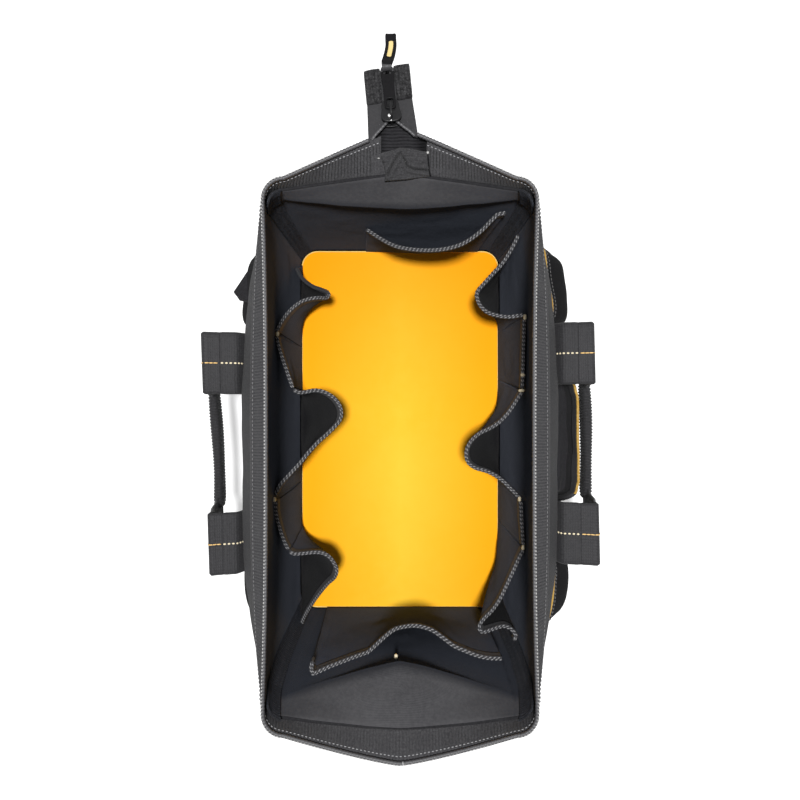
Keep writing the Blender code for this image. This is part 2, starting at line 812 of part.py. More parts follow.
# Cap folded over the tapes' outer end, open over the coils
cap_low = -tape_half - fit_gap - cap_wall
cap_high = tape_half + fit_gap + cap_wall
cap = add_outline("tab_cap", [rounded_rectangle(tab_half, cap_length / 2, tab_round)],
                  cap_high - cap_low, webbing, bag, tab_axis)
cap.location.y = cap_start + cap_length / 2
tape_slot = add_block("tape_slot", (-tape_edge - fit_gap, cap_start - cap_wall, -tape_half - fit_gap),
                      (tape_edge + fit_gap, cap_inside, tape_half + fit_gap), None, cutters, tab_axis)
coil_slot = add_block("coil_slot", (-cap_channel / 2, cap_start - cap_wall, 0),
                      (cap_channel / 2, cap_inside, cap_high + cap_wall), None, cutters, tab_axis)
cap = to_mesh_object(cap)
cap.data.materials.append(webbing)
combine(cap, tape_slot, "DIFFERENCE")
combine(cap, coil_slot, "DIFFERENCE")

# Slider: plates above and below the tapes, side flanges at its closed end, the post between
# the tapes at its open end, and the bridge over the pull
slider_start = cap_start - slider_cap_gap - slider_length
slider_stop = slider_start + slider_length
slider_middle = slider_start + slider_length / 2
plate_low = tab_coil_z + tab_coil_radius + fit_gap
plate_high = plate_low + slider_plate
flange_inner = tab_coil_x + tab_coil_radius + fit_gap
bottom_high = -tape_half - fit_gap
bottom_low = bottom_high - slider_plate


def add_slider_piece(name, low, high):
    return add_block(name, low, high, None, cutters, tab_axis)


slider = add_outline(
    "zip_slider",
    [rounded_rectangle(slider_width / 2, slider_length / 2, tab_round)],
    slider_plate, slider_metal, bag, tab_axis)
slider.location = (0, slider_middle, plate_low + slider_plate / 2)
slider = to_mesh_object(slider)
slider.data.materials.append(slider_metal)
flange_low = tape_half + fit_gap
flange_outer = slider_width / 2 - slider_bottom_trim
flange_stop = slider_stop - tab_round
for side, side_name in ((1, "right"), (-1, "left")):
    edges = sorted((side * flange_inner, side * flange_outer))
    flange = add_slider_piece("slider_flange_" + side_name,
                              (edges[0], flange_stop - flange_length, flange_low),
                              (edges[1], flange_stop, plate_high - fit_gap))
    combine(slider, flange, "UNION")
post = add_slider_piece("slider_post",
                        (-slider_post_width / 2, slider_start + fit_gap, bottom_high - fit_gap),
                        (slider_post_width / 2, slider_start + slider_post_length, plate_low + fit_gap))
combine(slider, post, "UNION")
bottom = add_slider_piece("slider_bottom",
                          (-slider_width / 2 + slider_bottom_trim, slider_start, bottom_low),
                          (slider_width / 2 - slider_bottom_trim, flange_stop, bottom_high))
combine(slider, bottom, "UNION")

# Bridge over the slider, drawn in the plane of the tab's length and height
bridge_half = bridge_length / 2
bridge_top = bridge_clear_height + bridge_wall
bridge_knee = bridge_clear_height - bridge_wall / 2
bridge_outline = [
    (-bridge_half, -fit_gap), (-bridge_half, bridge_knee),
    (-bridge_half + bridge_wall, bridge_top), (bridge_half - bridge_wall, bridge_top),
    (bridge_half, bridge_knee), (bridge_half, -fit_gap),
    (bridge_half - bridge_wall, -fit_gap), (bridge_half - bridge_wall, bridge_clear_height),
    (-bridge_half + bridge_wall, bridge_clear_height), (-bridge_half + bridge_wall, -fit_gap),
]
bridge = add_outline("slider_bridge", [bridge_outline], bridge_width, None, cutters, tab_axis)
bridge.location = (0, slider_middle, plate_high)
bridge.rotation_euler = (pi / 2, 0, pi / 2)
bridge = to_mesh_object(bridge)
combine(slider, bridge, "UNION")

# Pull link: a flat ring plate whose inner bar lies under the bridge
link_axis_z = plate_high + bridge_clear_height / 2
link_axis = add_axis("link_axis", (0, slider_middle, link_axis_z), (0, 0, 0), tab_axis)
link_start = -link_bar / 2
link_stop = link_start + link_length
inner_eye = [(-link_eye_width / 2, link_bar / 2), (link_eye_width / 2, link_bar / 2),
             (link_eye_width / 2, link_bar / 2 + link_eye_length),
             (-link_eye_width / 2, link_bar / 2 + link_eye_length)]
strap_eye_stop = link_stop - link_bar
strap_eye_start = strap_eye_stop - strap_eye_length
outer_eye = [(-strap_eye_width / 2, strap_eye_start), (strap_eye_width / 2, strap_eye_start),
             (strap_eye_width / 2, strap_eye_stop), (-strap_eye_width / 2, strap_eye_stop)]
link_rim = [(x, y + (link_start + link_stop) / 2)
            for x, y in rounded_rectangle(link_width / 2, link_length / 2, link_bar / 2)]
add_outline("pull_link", [link_rim, inner_eye, outer_eye], link_thickness, pull_rubber,
            bag, link_axis)

# Pull strap: a loop round the link's outer bar and a flat tongue with an inset yellow bar
strap_axis = add_axis("strap_axis", (0, link_stop - link_bar / 2, 0), (0, 0, 0), link_axis)
bar_reach = max(link_bar, link_thickness) / 2 * 2 ** 0.5 + fit_gap
loop_radius = bar_reach + pull_loop_wall
loop_rim = arc(0, 0, loop_radius, 0, 2 * pi - pi / 8, 15)
loop_hole = arc(0, 0, bar_reach, 0, 2 * pi - pi / 6, 11)
pull = add_outline("pull_strap", [rounded_rectangle(pull_width / 2, pull_length / 2, pull_round)],
                   pull_thickness, pull_rubber, bag, strap_axis)
pull_start = loop_radius - pull_loop_wall / 2
pull.location.y = pull_start + pull_length / 2
loop = add_outline("pull_loop", [loop_rim, loop_hole], pull_loop_width, None, cutters, strap_axis)
loop.rotation_euler = (pi / 2, 0, pi / 2)
bar_length_start = pull_start + pull_length - pull_bar_margin - pull_bar_length
bar_recess = add_block("pull_bar_recess",
                       (-pull_bar_width / 2 - fit_gap, bar_length_start - fit_gap,
                        pull_thickness / 2 - pull_bar_depth - fit_gap),
                       (pull_bar_width / 2 + fit_gap, bar_length_start + pull_bar_length + fit_gap,
                        pull_thickness), None, cutters, strap_axis)
pull = to_mesh_object(pull)
pull.data.materials.append(pull_rubber)
loop = to_mesh_object(loop)
combine(pull, loop, "UNION")
combine(pull, bar_recess, "DIFFERENCE")
add_block("pull_bar", (-pull_bar_width / 2, bar_length_start, pull_thickness / 2 - pull_bar_depth),
          (pull_bar_width / 2, bar_length_start + pull_bar_length, pull_thickness / 2),
          bar_plastic, bag, strap_axis)
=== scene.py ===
import json
from math import cos, pi, radians, sin

import bpy
import numpy as np
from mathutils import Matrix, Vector, noise


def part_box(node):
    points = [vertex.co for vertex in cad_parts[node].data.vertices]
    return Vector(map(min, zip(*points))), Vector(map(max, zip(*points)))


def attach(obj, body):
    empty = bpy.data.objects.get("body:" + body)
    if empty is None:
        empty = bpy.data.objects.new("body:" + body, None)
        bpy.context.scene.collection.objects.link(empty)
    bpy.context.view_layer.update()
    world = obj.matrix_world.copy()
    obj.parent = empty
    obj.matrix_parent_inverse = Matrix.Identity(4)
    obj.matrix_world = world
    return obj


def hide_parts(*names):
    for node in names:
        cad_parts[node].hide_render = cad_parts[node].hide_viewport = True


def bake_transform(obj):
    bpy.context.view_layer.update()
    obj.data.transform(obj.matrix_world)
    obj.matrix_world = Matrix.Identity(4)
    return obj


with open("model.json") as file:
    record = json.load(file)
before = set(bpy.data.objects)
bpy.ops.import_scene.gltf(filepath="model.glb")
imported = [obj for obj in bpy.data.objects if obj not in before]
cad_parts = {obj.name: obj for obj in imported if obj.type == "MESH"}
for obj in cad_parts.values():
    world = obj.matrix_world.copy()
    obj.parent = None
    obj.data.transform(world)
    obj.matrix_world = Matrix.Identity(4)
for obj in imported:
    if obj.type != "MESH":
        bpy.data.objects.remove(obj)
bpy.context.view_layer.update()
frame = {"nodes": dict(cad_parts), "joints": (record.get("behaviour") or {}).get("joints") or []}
print("frame loaded:", len(frame["nodes"]), "nodes")


# View from straight above, as in the photograph
cameraLook = {"height": 0.730, "middleY": 0.0325, "lens": 29.1, "sensor": 36, "clip": 0.01, "pixels": 800}
camera = bpy.data.objects.new("camera", bpy.data.cameras.new("camera"))
bpy.context.scene.collection.objects.link(camera)
camera.location = (0, cameraLook["middleY"], cameraLook["height"])
camera.data.lens = cameraLook["lens"]
camera.data.clip_start = cameraLook["clip"]
bpy.context.scene.camera = camera
bpy.context.scene.view_settings.view_transform = "Standard"

# Pale floor, soft studio light
stageLook = {"floor": (0.80, 0.80, 0.80), "floorRoughness": 0.9, "floorGlow": 0.42, "floorReach": 6.0,
             "floorZ": -0.0004, "sky": 0.29, "white": (1, 1, 1, 1), "lamp": 17.0, "lampSize": 0.10,
             "lampPlace": (-0.010, 0.035, 1.25)}


# Node tools
def fillNode(tree, node, values=None, links=None):
    for key, value in (values or {}).items():
        node.inputs[key].default_value = value
    for key, source in (links or {}).items():
        tree.links.new(source, node.inputs[key])
    return node


def addNode(tree, kind, values=None, links=None, **settings):
    node = tree.nodes.new("ShaderNode" + kind)
    for key, value in settings.items():
        setattr(node, key, value)
    return fillNode(tree, node, values, links)


def rescaled(tree, source, low, high, toLow=0, toHigh=1):
    return addNode(tree, "MapRange", {"From Min": low, "From Max": high, "To Min": toLow, "To Max": toHigh},
                   {"Value": source}).outputs["Result"]


def multiplied(tree, source, factor):
    return addNode(tree, "Math", {1: factor}, {0: source}, operation="MULTIPLY").outputs[0]


def mixedColour(tree, first, second, share, blend="MIX"):
    # The colours and the share are values or the outputs of other nodes
    node = addNode(tree, "Mix", data_type="RGBA", blend_type=blend)
    for key, given in (("A", first), ("B", second), ("Factor", share)):
        if isinstance(given, bpy.types.NodeSocket):
            fillNode(tree, node, links={key: given})
        else:
            fillNode(tree, node, {key: (*given, 1) if isinstance(given, tuple) else given})
    return node.outputs["Result"]


def newMaterial(name):
    made = bpy.data.materials.new(name)
    made.use_nodes = True
    return made, made.node_tree, made.node_tree.nodes["Principled BSDF"]


def shownStrength(tree, lighting, shown, socket):
    # One strength for what lights the bag, another for what the camera and shiny things see
    rays = addNode(tree, "LightPath").outputs
    seen = rays["Is Camera Ray"]
    for kind in ("Is Glossy Ray", "Is Transmission Ray"):
        seen = addNode(tree, "Math", None, {0: seen, 1: rays[kind]}, operation="MAXIMUM").outputs[0]
    tree.links.new(rescaled(tree, seen, 0, 1, lighting, shown), socket)


def makeStage():
    look = stageLook
    mesh = bpy.data.meshes.new("floor")
    mesh.from_pydata([(x * look["floorReach"], y * look["floorReach"], look["floorZ"])
                      for x, y in ((-1, -1), (1, -1), (1, 1), (-1, 1))], [], [(0, 1, 2, 3)])
    floor = bpy.data.objects.new("floor", mesh)
    bpy.context.scene.collection.objects.link(floor)
    paper, tree, shader = newMaterial("paperFloor")
    fillNode(tree, shader, {"Base Color": (*look["floor"], 1), "Roughness": look["floorRoughness"],
                            "Emission Color": look["white"]})
    shownStrength(tree, 0, look["floorGlow"], shader.inputs["Emission Strength"])
    mesh.materials.append(paper)
    world = bpy.data.worlds.new("studio")
    world.use_nodes = True
    sky = world.node_tree.nodes["Background"]
    fillNode(world.node_tree, sky, {"Color": look["white"]})
    shownStrength(world.node_tree, look["sky"], 1, sky.inputs["Strength"])
    bpy.context.scene.world = world
    lamp = bpy.data.objects.new("softbox", bpy.data.lights.new("softbox", "AREA"))
    lamp.data.shape = "DISK"
    lamp.data.size = look["lampSize"]
    lamp.data.energy = look["lamp"]
    lamp.location = look["lampPlace"]
    bpy.context.scene.collection.objects.link(lamp)


makeStage()
print("stage and camera made")


# Cloth finishes. Each one has its own colours and what differs from the plain cloth
plainCloth = {"pitch": (0.0010, 0.0010), "bump": 0.5, "mottle": 0.6, "mottleSize": 0.0020, "softBump": 0.25,
              "roughness": 0.8, "specular": 0.12, "sheen": 0.05, "sheenTint": (1, 1, 1), "wear": 0.3,
              "threadShade": 0.35, "wander": 0.6, "broadScale": 16, "tones": ()}
weaveLook = {"waveScale": 0.31416, "waveDetail": 1.5, "yarnDetail": 4, "yarnRoughness": 0.65,
             "yarnRange": (0.38, 0.66), "broadDetail": 3, "broadRange": (0.35, 0.70),
             "roughDown": 0.08, "roughUp": 0.06, "threadDepth": 0.4, "softDepth": 0.0012, "sheenRoughness": 0.5}


def clothFinish(name, own):
    # Woven cloth: threads both ways as bump, with a mottled yarn colour and broad wear
    look = {**plainCloth, **own}
    made, tree, shader = newMaterial(name)
    place = addNode(tree, "TexCoord").outputs
    waves = [addNode(tree, "TexWave", {"Scale": weaveLook["waveScale"] / pitch, "Distortion": look["wander"],
                                       "Detail Scale": weaveLook["waveDetail"]},
                     {"Vector": place["UV"]}, bands_direction=way).outputs["Fac"]
             for way, pitch in zip("XY", look["pitch"])]
    yarn = addNode(tree, "TexNoise", {"Scale": 1 / look["mottleSize"], "Detail": weaveLook["yarnDetail"],
                                      "Roughness": weaveLook["yarnRoughness"]},
                   {"Vector": place["Object"]}).outputs["Fac"]
    broad = addNode(tree, "TexNoise", {"Scale": look["broadScale"], "Detail": weaveLook["broadDetail"]},
                    {"Vector": place["Object"]}).outputs["Fac"]
    weave = addNode(tree, "Math", None, {0: waves[0], 1: waves[1]}, operation="MULTIPLY").outputs[0]
    mottle = multiplied(tree, rescaled(tree, yarn, *weaveLook["yarnRange"]), look["mottle"])
    wear = multiplied(tree, rescaled(tree, broad, *weaveLook["broadRange"]), look["wear"])
    colour = mixedColour(tree, look["dark"], look["light"], mottle)
    colour = mixedColour(tree, colour, look["worn"], wear)
    # painted shade: the weave darkens the colour in the grooves between the threads
    colour = mixedColour(tree, colour, weave, look["threadShade"], "MULTIPLY")
    for tone in look["tones"]:
        # painted light and shade: the cloth turns towards a lighter or darker colour along one axis of the bag
        along = addNode(tree, "SeparateXYZ", None, {0: place["Object"]}).outputs[tone["axis"]]
        if not tone.get("signed"):
            along = addNode(tree, "Math", None, {0: along}, operation="ABSOLUTE").outputs[0]
        share = rescaled(tree, along, tone["start"], tone["end"], 0, tone["share"])
        colour = mixedColour(tree, colour, tone["colour"], share)
    rough = rescaled(tree, yarn, 0, 1, look["roughness"] - weaveLook["roughDown"],
                     look["roughness"] + weaveLook["roughUp"])
    threads = addNode(tree, "Bump", {"Strength": look["bump"],
                                     "Distance": min(look["pitch"]) * weaveLook["threadDepth"]},
                      {"Height": weave}).outputs["Normal"]
    soft = addNode(tree, "Bump", {"Strength": look["softBump"], "Distance": weaveLook["softDepth"]},
                   {"Height": yarn, "Normal": threads}).outputs["Normal"]
    fillNode(tree, shader, {"Sheen Weight": look["sheen"], "Sheen Roughness": weaveLook["sheenRoughness"],
                            "Sheen Tint": (*look["sheenTint"], 1), "Specular IOR Level": look["specular"]},
             {"Base Color": colour, "Roughness": rough, "Normal": soft})
    return made


# blue-tinted sheen cancels the yellow light thrown up from the lining onto the dark cloth: painted counter-tint
# against that light
coolSheen = {"specular": 0.0, "sheen": 0.10, "sheenTint": (0.72, 0.80, 1.0)}
finishes = {
    "body_cloth": {
        "dark": (0.018, 0.0177, 0.0198), "light": (0.034, 0.0334, 0.0366), "worn": (0.038, 0.0375, 0.040),
        "pitch": (0.0011, 0.0011), "bump": 0.55, "mottle": 0.75, "mottleSize": 0.0018,
        "roughness": 0.82, "specular": 0.05},
    "inner_cloth": {
        # painted light: the light colours stand for the lit band of the inner wall under the rim
        "dark": (0.058, 0.057, 0.061), "light": (0.085, 0.084, 0.088), "worn": (0.105, 0.104, 0.108),
        "pitch": (0.0007, 0.0007), "bump": 0.30, "mottleSize": 0.0030, "roughness": 0.70, "wear": 0.4,
        # painted shade: the end walls below the band and the low walls turn dark; painted light: the long side
        # walls are lightened where little light reaches
        "tones": ({"axis": "Z", "start": 0.216, "end": 0.206, "share": 1.0, "colour": (0.0105, 0.0113, 0.0148)},
                  {"axis": "Z", "start": 0.125, "end": 0.080, "share": 0.9, "colour": (0.010, 0.0108, 0.0140)},
                  {"axis": "X", "start": 0.104, "end": 0.113, "share": 0.85, "colour": (0.070, 0.074, 0.088)}),
        **coolSheen},
    "pocket_cloth": {
        "dark": (0.022, 0.0215, 0.024), "light": (0.040, 0.039, 0.043), "worn": (0.043, 0.042, 0.046),
        "roughness": 0.82},
    "webbing": {
        "dark": (0.0204, 0.0201, 0.0219), "light": (0.0416, 0.0411, 0.0442), "worn": (0.0442, 0.0433, 0.0467),
        "pitch": (0.0013, 0.0018), "mottle": 0.7, "mottleSize": 0.0016, "roughness": 0.66, "specular": 0.2,
        "threadShade": 0.3, "wander": 1.4},
    "grosgrain": {
        "dark": (0.018, 0.0185, 0.021), "light": (0.043, 0.044, 0.049), "worn": (0.039, 0.040, 0.045),
        "pitch": (0.0060, 0.0011), "bump": 0.8, "mottleSize": 0.0015, **coolSheen},
    "zip_tape_cloth": {
        "dark": (0.04, 0.0392, 0.0424), "light": (0.0832, 0.0824, 0.0864), "worn": (0.0672, 0.0664, 0.0696),
        "pitch": (0.0025, 0.0009), "bump": 0.7, "mottle": 0.85, "mottleSize": 0.0013, "roughness": 0.82,
        "wear": 0.2, "wander": 1.2},
    "hem_cloth": {
        "dark": (0.050, 0.049, 0.053), "light": (0.098, 0.097, 0.102), "worn": (0.090, 0.089, 0.094),
        "mottleSize": 0.0015},
    "rope_cloth": {
        "dark": (0.040, 0.040, 0.044), "light": (0.085, 0.085, 0.092), "worn": (0.070, 0.070, 0.076),
        "pitch": (0.0010, 0.0037), "mottle": 0.7, "mottleSize": 0.0016},
    "inner_pocket_cloth": {
        # bluish colours cancel the yellow light thrown up from the lining: painted counter-tint against that
        # light
        "dark": (0.034, 0.038, 0.054), "light": (0.060, 0.067, 0.092), "worn": (0.066, 0.073, 0.100),
        "roughness": 0.82, **coolSheen},
    # near-black cloth for the bellows pockets: painted shade standing in for their dark insides
    "pocket_black": {
        "dark": (0.0050, 0.0048, 0.0056), "light": (0.0095, 0.0092, 0.0102), "worn": (0.010, 0.0097, 0.0107),
        "roughness": 0.85, "specular": 0.06, "sheen": 0.0},
    # darker inner face of the inner pockets: painted shade inside each pocket
    "pocket_lining": {
        "dark": (0.012, 0.012, 0.0136), "light": (0.024, 0.024, 0.027), "worn": (0.026, 0.026, 0.029),
        "bump": 0.4, "roughness": 0.9, "specular": 0.0, "sheen": 0.03},
    "cap_cloth": {
        "dark": (0.0086, 0.0084, 0.0094), "light": (0.0671, 0.0663, 0.0694), "worn": (0.039, 0.0382, 0.0406),
        "pitch": (0.0024, 0.0030), "bump": 1.0, "mottle": 1.0, "mottleSize": 0.0026, "softBump": 0.6,
        "threadShade": 0.5, "wander": 4.0},
    "tab_tape_cloth": {
        "dark": (0.0294, 0.029, 0.0313), "light": (0.0515, 0.0506, 0.0534), "worn": (0.0552, 0.0543, 0.057),
        "pitch": (0.0008, 0.0011), "bump": 0.35, "mottle": 0.5, "mottleSize": 0.0022, "roughness": 0.75,
        "specular": 0.2},
    "gusset_cloth": {
        "dark": (0.020, 0.0197, 0.022), "light": (0.0425, 0.0418, 0.045), "worn": (0.0382, 0.0377, 0.0408),
        "mottle": 0.5, "mottleSize": 0.0016, "roughness": 0.75, "specular": 0.06, "sheen": 0.0,
        # painted shade: the ribbed cloth turns near black towards its sides, in the folds beside the tab
        "tones": ({"axis": "X", "start": 0.0095, "end": 0.0165, "share": 0.88,
                   "colour": (0.004, 0.004, 0.0046)},)},
    "flap_cloth": {
        "dark": (0.0295, 0.0291, 0.0316), "light": (0.0689, 0.0681, 0.0713), "worn": (0.064, 0.0631, 0.0664),
        "pitch": (0.0012, 0.0012), "bump": 0.7, "mottle": 0.85, "mottleSize": 0.0014, "softBump": 0.5},
    "yellow_cloth": {
        "dark": (1.0, 0.57, 0.032), "light": (1.0, 0.61, 0.048), "worn": (1.0, 0.65, 0.060),
        "pitch": (0.0008, 0.0008), "bump": 0.15, "mottle": 0.5, "mottleSize": 0.012, "softBump": 0.05,
        "specular": 0.05, "sheen": 0.0, "wear": 0.6, "threadShade": 0.06, "broadScale": 7,
        # painted shade: the lining turns orange towards the long walls and towards the tab end, where less
        # light reaches
        "tones": ({"axis": "X", "start": 0.0, "end": 0.098, "share": 0.9, "colour": (1.0, 0.420, 0.007)},
                  {"axis": "Y", "signed": True, "start": 0.02, "end": 0.19, "share": 0.6,
                   "colour": (1.0, 0.33, 0.002)})},
    # pale colour of the lining's edge: painted highlight where the turned-up edge catches light
    "welt_cloth": {
        "dark": (1.0, 0.62, 0.12), "light": (1.0, 0.80, 0.34), "worn": (1.0, 0.74, 0.26),
        "pitch": (0.0011, 0.0011), "bump": 0.4, "roughness": 0.6, "sheen": 0.0, "threadShade": 0.1},
    "yellow_piping": {
        "dark": (0.52, 0.30, 0.055), "light": (0.88, 0.60, 0.20), "worn": (0.74, 0.46, 0.12),
        "pitch": (0.0011, 0.0011), "bump": 0.6, "mottleSize": 0.0015, "roughness": 0.7, "sheen": 0.0},
}
finish = {name: clothFinish(name, look) for name, look in finishes.items()}

# Hard finishes and threads
plainHard = {"metal": 0, "specular": 0.5, "bump": 0.3, "grainScale": 900, "grainDetail": 5,
             "grainDepth": 0.0004, "roughSpread": 0.1}
hardFinishes = {
    # white thread for the gusset bartacks, also the painted highlights on the rim coil
    "white_thread": {"colour": (0.2592, 0.2556, 0.252), "rubbed": (0.4176, 0.414, 0.4032), "roughness": 0.7},
    "grey_thread": {"colour": (0.085, 0.084, 0.087), "rubbed": (0.17, 0.168, 0.17), "roughness": 0.75},
    "gold_thread": {"colour": (0.688, 0.368, 0.08), "rubbed": (0.76, 0.56, 0.272), "roughness": 0.6},
    "pale_thread": {"colour": (0.17, 0.17, 0.178), "rubbed": (0.33, 0.33, 0.34), "roughness": 0.7},
    "cream_thread": {"colour": (0.585, 0.465, 0.27), "rubbed": (0.7125, 0.66, 0.51), "roughness": 0.6,
                     "grainScale": 1200, "bump": 0.4},
    "coil_plastic": {"colour": (0.026, 0.0256, 0.028), "rubbed": (0.060, 0.059, 0.063), "roughness": 0.5,
                     "grainScale": 500, "bump": 0.15},
    "slider_metal": {"colour": (0.0048, 0.0048, 0.0053), "rubbed": (0.0096, 0.0096, 0.0104), "roughness": 0.42,
                     "specular": 0.2, "grainScale": 400, "bump": 0.1},
    # bright metal only for the slider's glint spots, standing in for its highlights
    "bare_metal": {"colour": (0.80, 0.80, 0.80), "rubbed": (0.90, 0.90, 0.90), "roughness": 0.22,
                   "grainScale": 400, "bump": 0.05, "metal": 1},
    # grey for the painted highlight on the pull's curved end
    "pull_grey": {"colour": (0.018, 0.0178, 0.0195), "rubbed": (0.034, 0.0335, 0.036), "roughness": 0.5,
                  "specular": 0.3, "grainScale": 700, "bump": 0.25},
    "pull_rubber": {"colour": (0.0036, 0.0034, 0.004), "rubbed": (0.008, 0.0078, 0.0084), "roughness": 0.5,
                    "specular": 0.08, "grainScale": 700, "bump": 0.25},
    "board_plastic": {"colour": (0.04, 0.04, 0.04), "rubbed": (0.07, 0.07, 0.07), "roughness": 0.6,
                      "grainScale": 200, "bump": 0.2},
    "bar_plastic": {"colour": (0.5544, 0.42, 0.1596), "rubbed": (0.6048, 0.4872, 0.2184), "roughness": 0.5,
                    "grainScale": 300, "bump": 0.1},
}


def hardFinish(name, own):
    # Moulded or painted surface with fine grain and slightly uneven gloss
    look = {**plainHard, **own}
    made, tree, shader = newMaterial(name)
    place = addNode(tree, "TexCoord").outputs["Object"]
    grain = addNode(tree, "TexNoise", {"Scale": look["grainScale"], "Detail": look["grainDetail"]},
                    {"Vector": place}).outputs["Fac"]
    rough = rescaled(tree, grain, 0, 1, look["roughness"] - look["roughSpread"],
                     look["roughness"] + look["roughSpread"])
    bump = addNode(tree, "Bump", {"Strength": look["bump"], "Distance": look["grainDepth"]},
                   {"Height": grain}).outputs["Normal"]
    fillNode(tree, shader, {"Metallic": look["metal"], "Specular IOR Level": look["specular"]},
             {"Base Color": mixedColour(tree, look["colour"], look["rubbed"], grain),
              "Roughness": rough, "Normal": bump})
    return made


finish.update({name: hardFinish(name, look) for name, look in hardFinishes.items()})
print("finishes made:", len(finish))


bothSides = ((1, "right"), (-1, "left"))


# Mesh tools
def unit(vectors):
    return vectors / np.maximum(np.linalg.norm(vectors, axis=-1, keepdims=True), 1e-9)


def ripple(place, scale, shift=(0, 0, 0)):
    # Smooth noise between -1 and 1, the same in each run
    return noise.noise(Vector([p * size + off for p, size, off in zip(place, scale, shift)]))


def pathRuns(path):
    # Distance along a path at each of its points
    return np.concatenate([[0], np.cumsum(np.linalg.norm(np.diff(path, axis=0), axis=1))])


def valuesAt(places, runs, values):
    return np.stack([np.interp(places, runs, values[:, k]) for k in range(values.shape[1])], axis=-1)


def atLength(path, lengths):
    return valuesAt(lengths, pathRuns(path), path)


def evenly(path, step):
    # The same path in even steps
    path = np.asarray(path, float)
    runs = pathRuns(path)
    count = max(2, int(round(runs[-1] / step)) + 1)
    return valuesAt(np.linspace(0, runs[-1], count), runs, path)


def curveThrough(points, step):
    # Smooth curve through given points
    points = [np.array(p, float) for p in points]
    points = [2 * points[0] - points[1]] + points + [2 * points[-1] - points[-2]]
    out = []
    for a, b, c, d in zip(points, points[1:], points[2:], points[3:]):
        count = max(2, int(np.linalg.norm(c - b) / step))
        for k in range(count):
            t = k / count
            out.append(0.5 * (2 * b + (c - a) * t + (2 * a - 5 * b + 4 * c - d) * t ** 2
                              + (3 * b - a - 3 * c + d) * t ** 3))
    out.append(points[-2])
    return np.array(out)


def newPiece(name, verts, faces, uvs, materials, body, faceFinish=None, stands=(), slot=None):
    mesh = bpy.data.meshes.new(name)
    mesh.from_pydata([tuple(v) for v in np.asarray(verts, float)], [], faces)
    layer = mesh.uv_layers.new(name="UVMap")
    corners = np.zeros(len(mesh.loops), np.int32)
    mesh.loops.foreach_get("vertex_index", corners)
    layer.data.foreach_set("uv", np.asarray(uvs, np.float32)[corners].ravel())
    for material in materials:
        mesh.materials.append(finish[material])
    if faceFinish is not None:
        mesh.polygons.foreach_set("material_index", np.asarray(faceFinish, np.int32))
    mesh.polygons.foreach_set("use_smooth", [True] * len(mesh.polygons))
    mesh.update()
    made = bpy.data.objects.new(name, mesh)
    bpy.context.scene.collection.objects.link(made)
    if body:
        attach(made, body)
    if stands:
        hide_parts(*stands)
    return made


def gridOf(point, rows, columns, start=0):
    # Rows of points of a surface, by its share along and the place across
    return [[point(share, across) for across in np.linspace(start, 1, columns)]
            for share in np.linspace(0, 1, rows)]


def gridNormals(grid, closed=False):
    if closed:
        along = np.roll(grid, -1, axis=1) - np.roll(grid, 1, axis=1)
    else:
        along = np.gradient(grid, axis=1)
    return unit(np.cross(along, np.gradient(grid, axis=0)))


def clothPiece(name, grid, thickness, materials, body, side=0.0, closed=False, stands=(), slot=None, roll=0.45):
    # Cloth from rows of points, with two faces and a rounded edge. side 1 puts all its
    # thickness in front of the points, -1 all behind them
    grid = np.asarray(grid, float)
    rows, columns = grid.shape[:2]
    normals = gridNormals(grid, closed)
    front = grid + normals * thickness * (0.5 + side / 2)
    back = grid - normals * thickness * (0.5 - side / 2)
    u, v = pathRuns(grid[rows // 2]), pathRuns(grid[:, columns // 2])
    uv = np.stack(np.meshgrid(u, v), axis=-1).reshape(-1, 2)
    count = rows * columns

    def at(r, c):
        return r * columns + c % columns

    faces, shade = [], []
    last = columns if closed else columns - 1
    for r in range(rows - 1):
        for c in range(last):
            quad = (at(r, c), at(r, c + 1), at(r + 1, c + 1), at(r + 1, c))
            faces += [quad, tuple(count + k for k in quad[::-1])]
            shade += [0, len(materials) - 1]
    if closed:
        rims = [[(0, c) for c in range(columns)], [(rows - 1, columns - 1 - c) for c in range(columns)]]
    else:
        rims = [[(0, c) for c in range(columns - 1)] + [(r, columns - 1) for r in range(rows - 1)]
                + [(rows - 1, c) for c in range(columns - 1, 0, -1)] + [(r, 0) for r in range(rows - 1, 0, -1)]]
    verts = [front.reshape(-1, 3), back.reshape(-1, 3)]
    uvs = [uv, uv]
    base = 2 * count
    for rim in rims:
        middles = []
        for r, c in rim:
            out = np.zeros(3)
            if r in (0, rows - 1):
                out += unit(grid[r, c] - grid[1 if r == 0 else rows - 2, c])
            if not closed and c in (0, columns - 1):
                out += unit(grid[r, c] - grid[r, 1 if c == 0 else columns - 2])
            middles.append((front[r, c] + back[r, c]) / 2 + unit(out) * thickness * roll)
        verts.append(np.array(middles))
        uvs.append(np.array([uv[at(r, c)] for r, c in rim]))
        for k in range(len(rim)):
            a, b = at(*rim[k]), at(*rim[(k + 1) % len(rim)])
            m, n = base + k, base + (k + 1) % len(rim)
            faces += [(a, m, n, b), (m, count + a, count + b, n)]
            shade += [0, 0]
        base += len(rim)
    return newPiece(name, np.concatenate(verts), faces, np.concatenate(uvs), materials, body,
                    shade if len(materials) > 1 else None, stands, slot)


def ringFaces(count, sides, inward=False):
    # Faces between rings of points, with a cap at each end
    faces = []
    for r in range(count - 1):
        for k in range(sides):
            n = (k + 1) % sides
            a, b, c, d = r * sides + k, r * sides + n, (r + 1) * sides + n, (r + 1) * sides + k
            faces.append((a, d, c, b) if inward else (a, b, c, d))
    caps = [tuple(range(sides))[::-1], tuple((count - 1) * sides + k for k in range(sides))]
    return faces + ([cap[::-1] for cap in caps] if inward else caps)


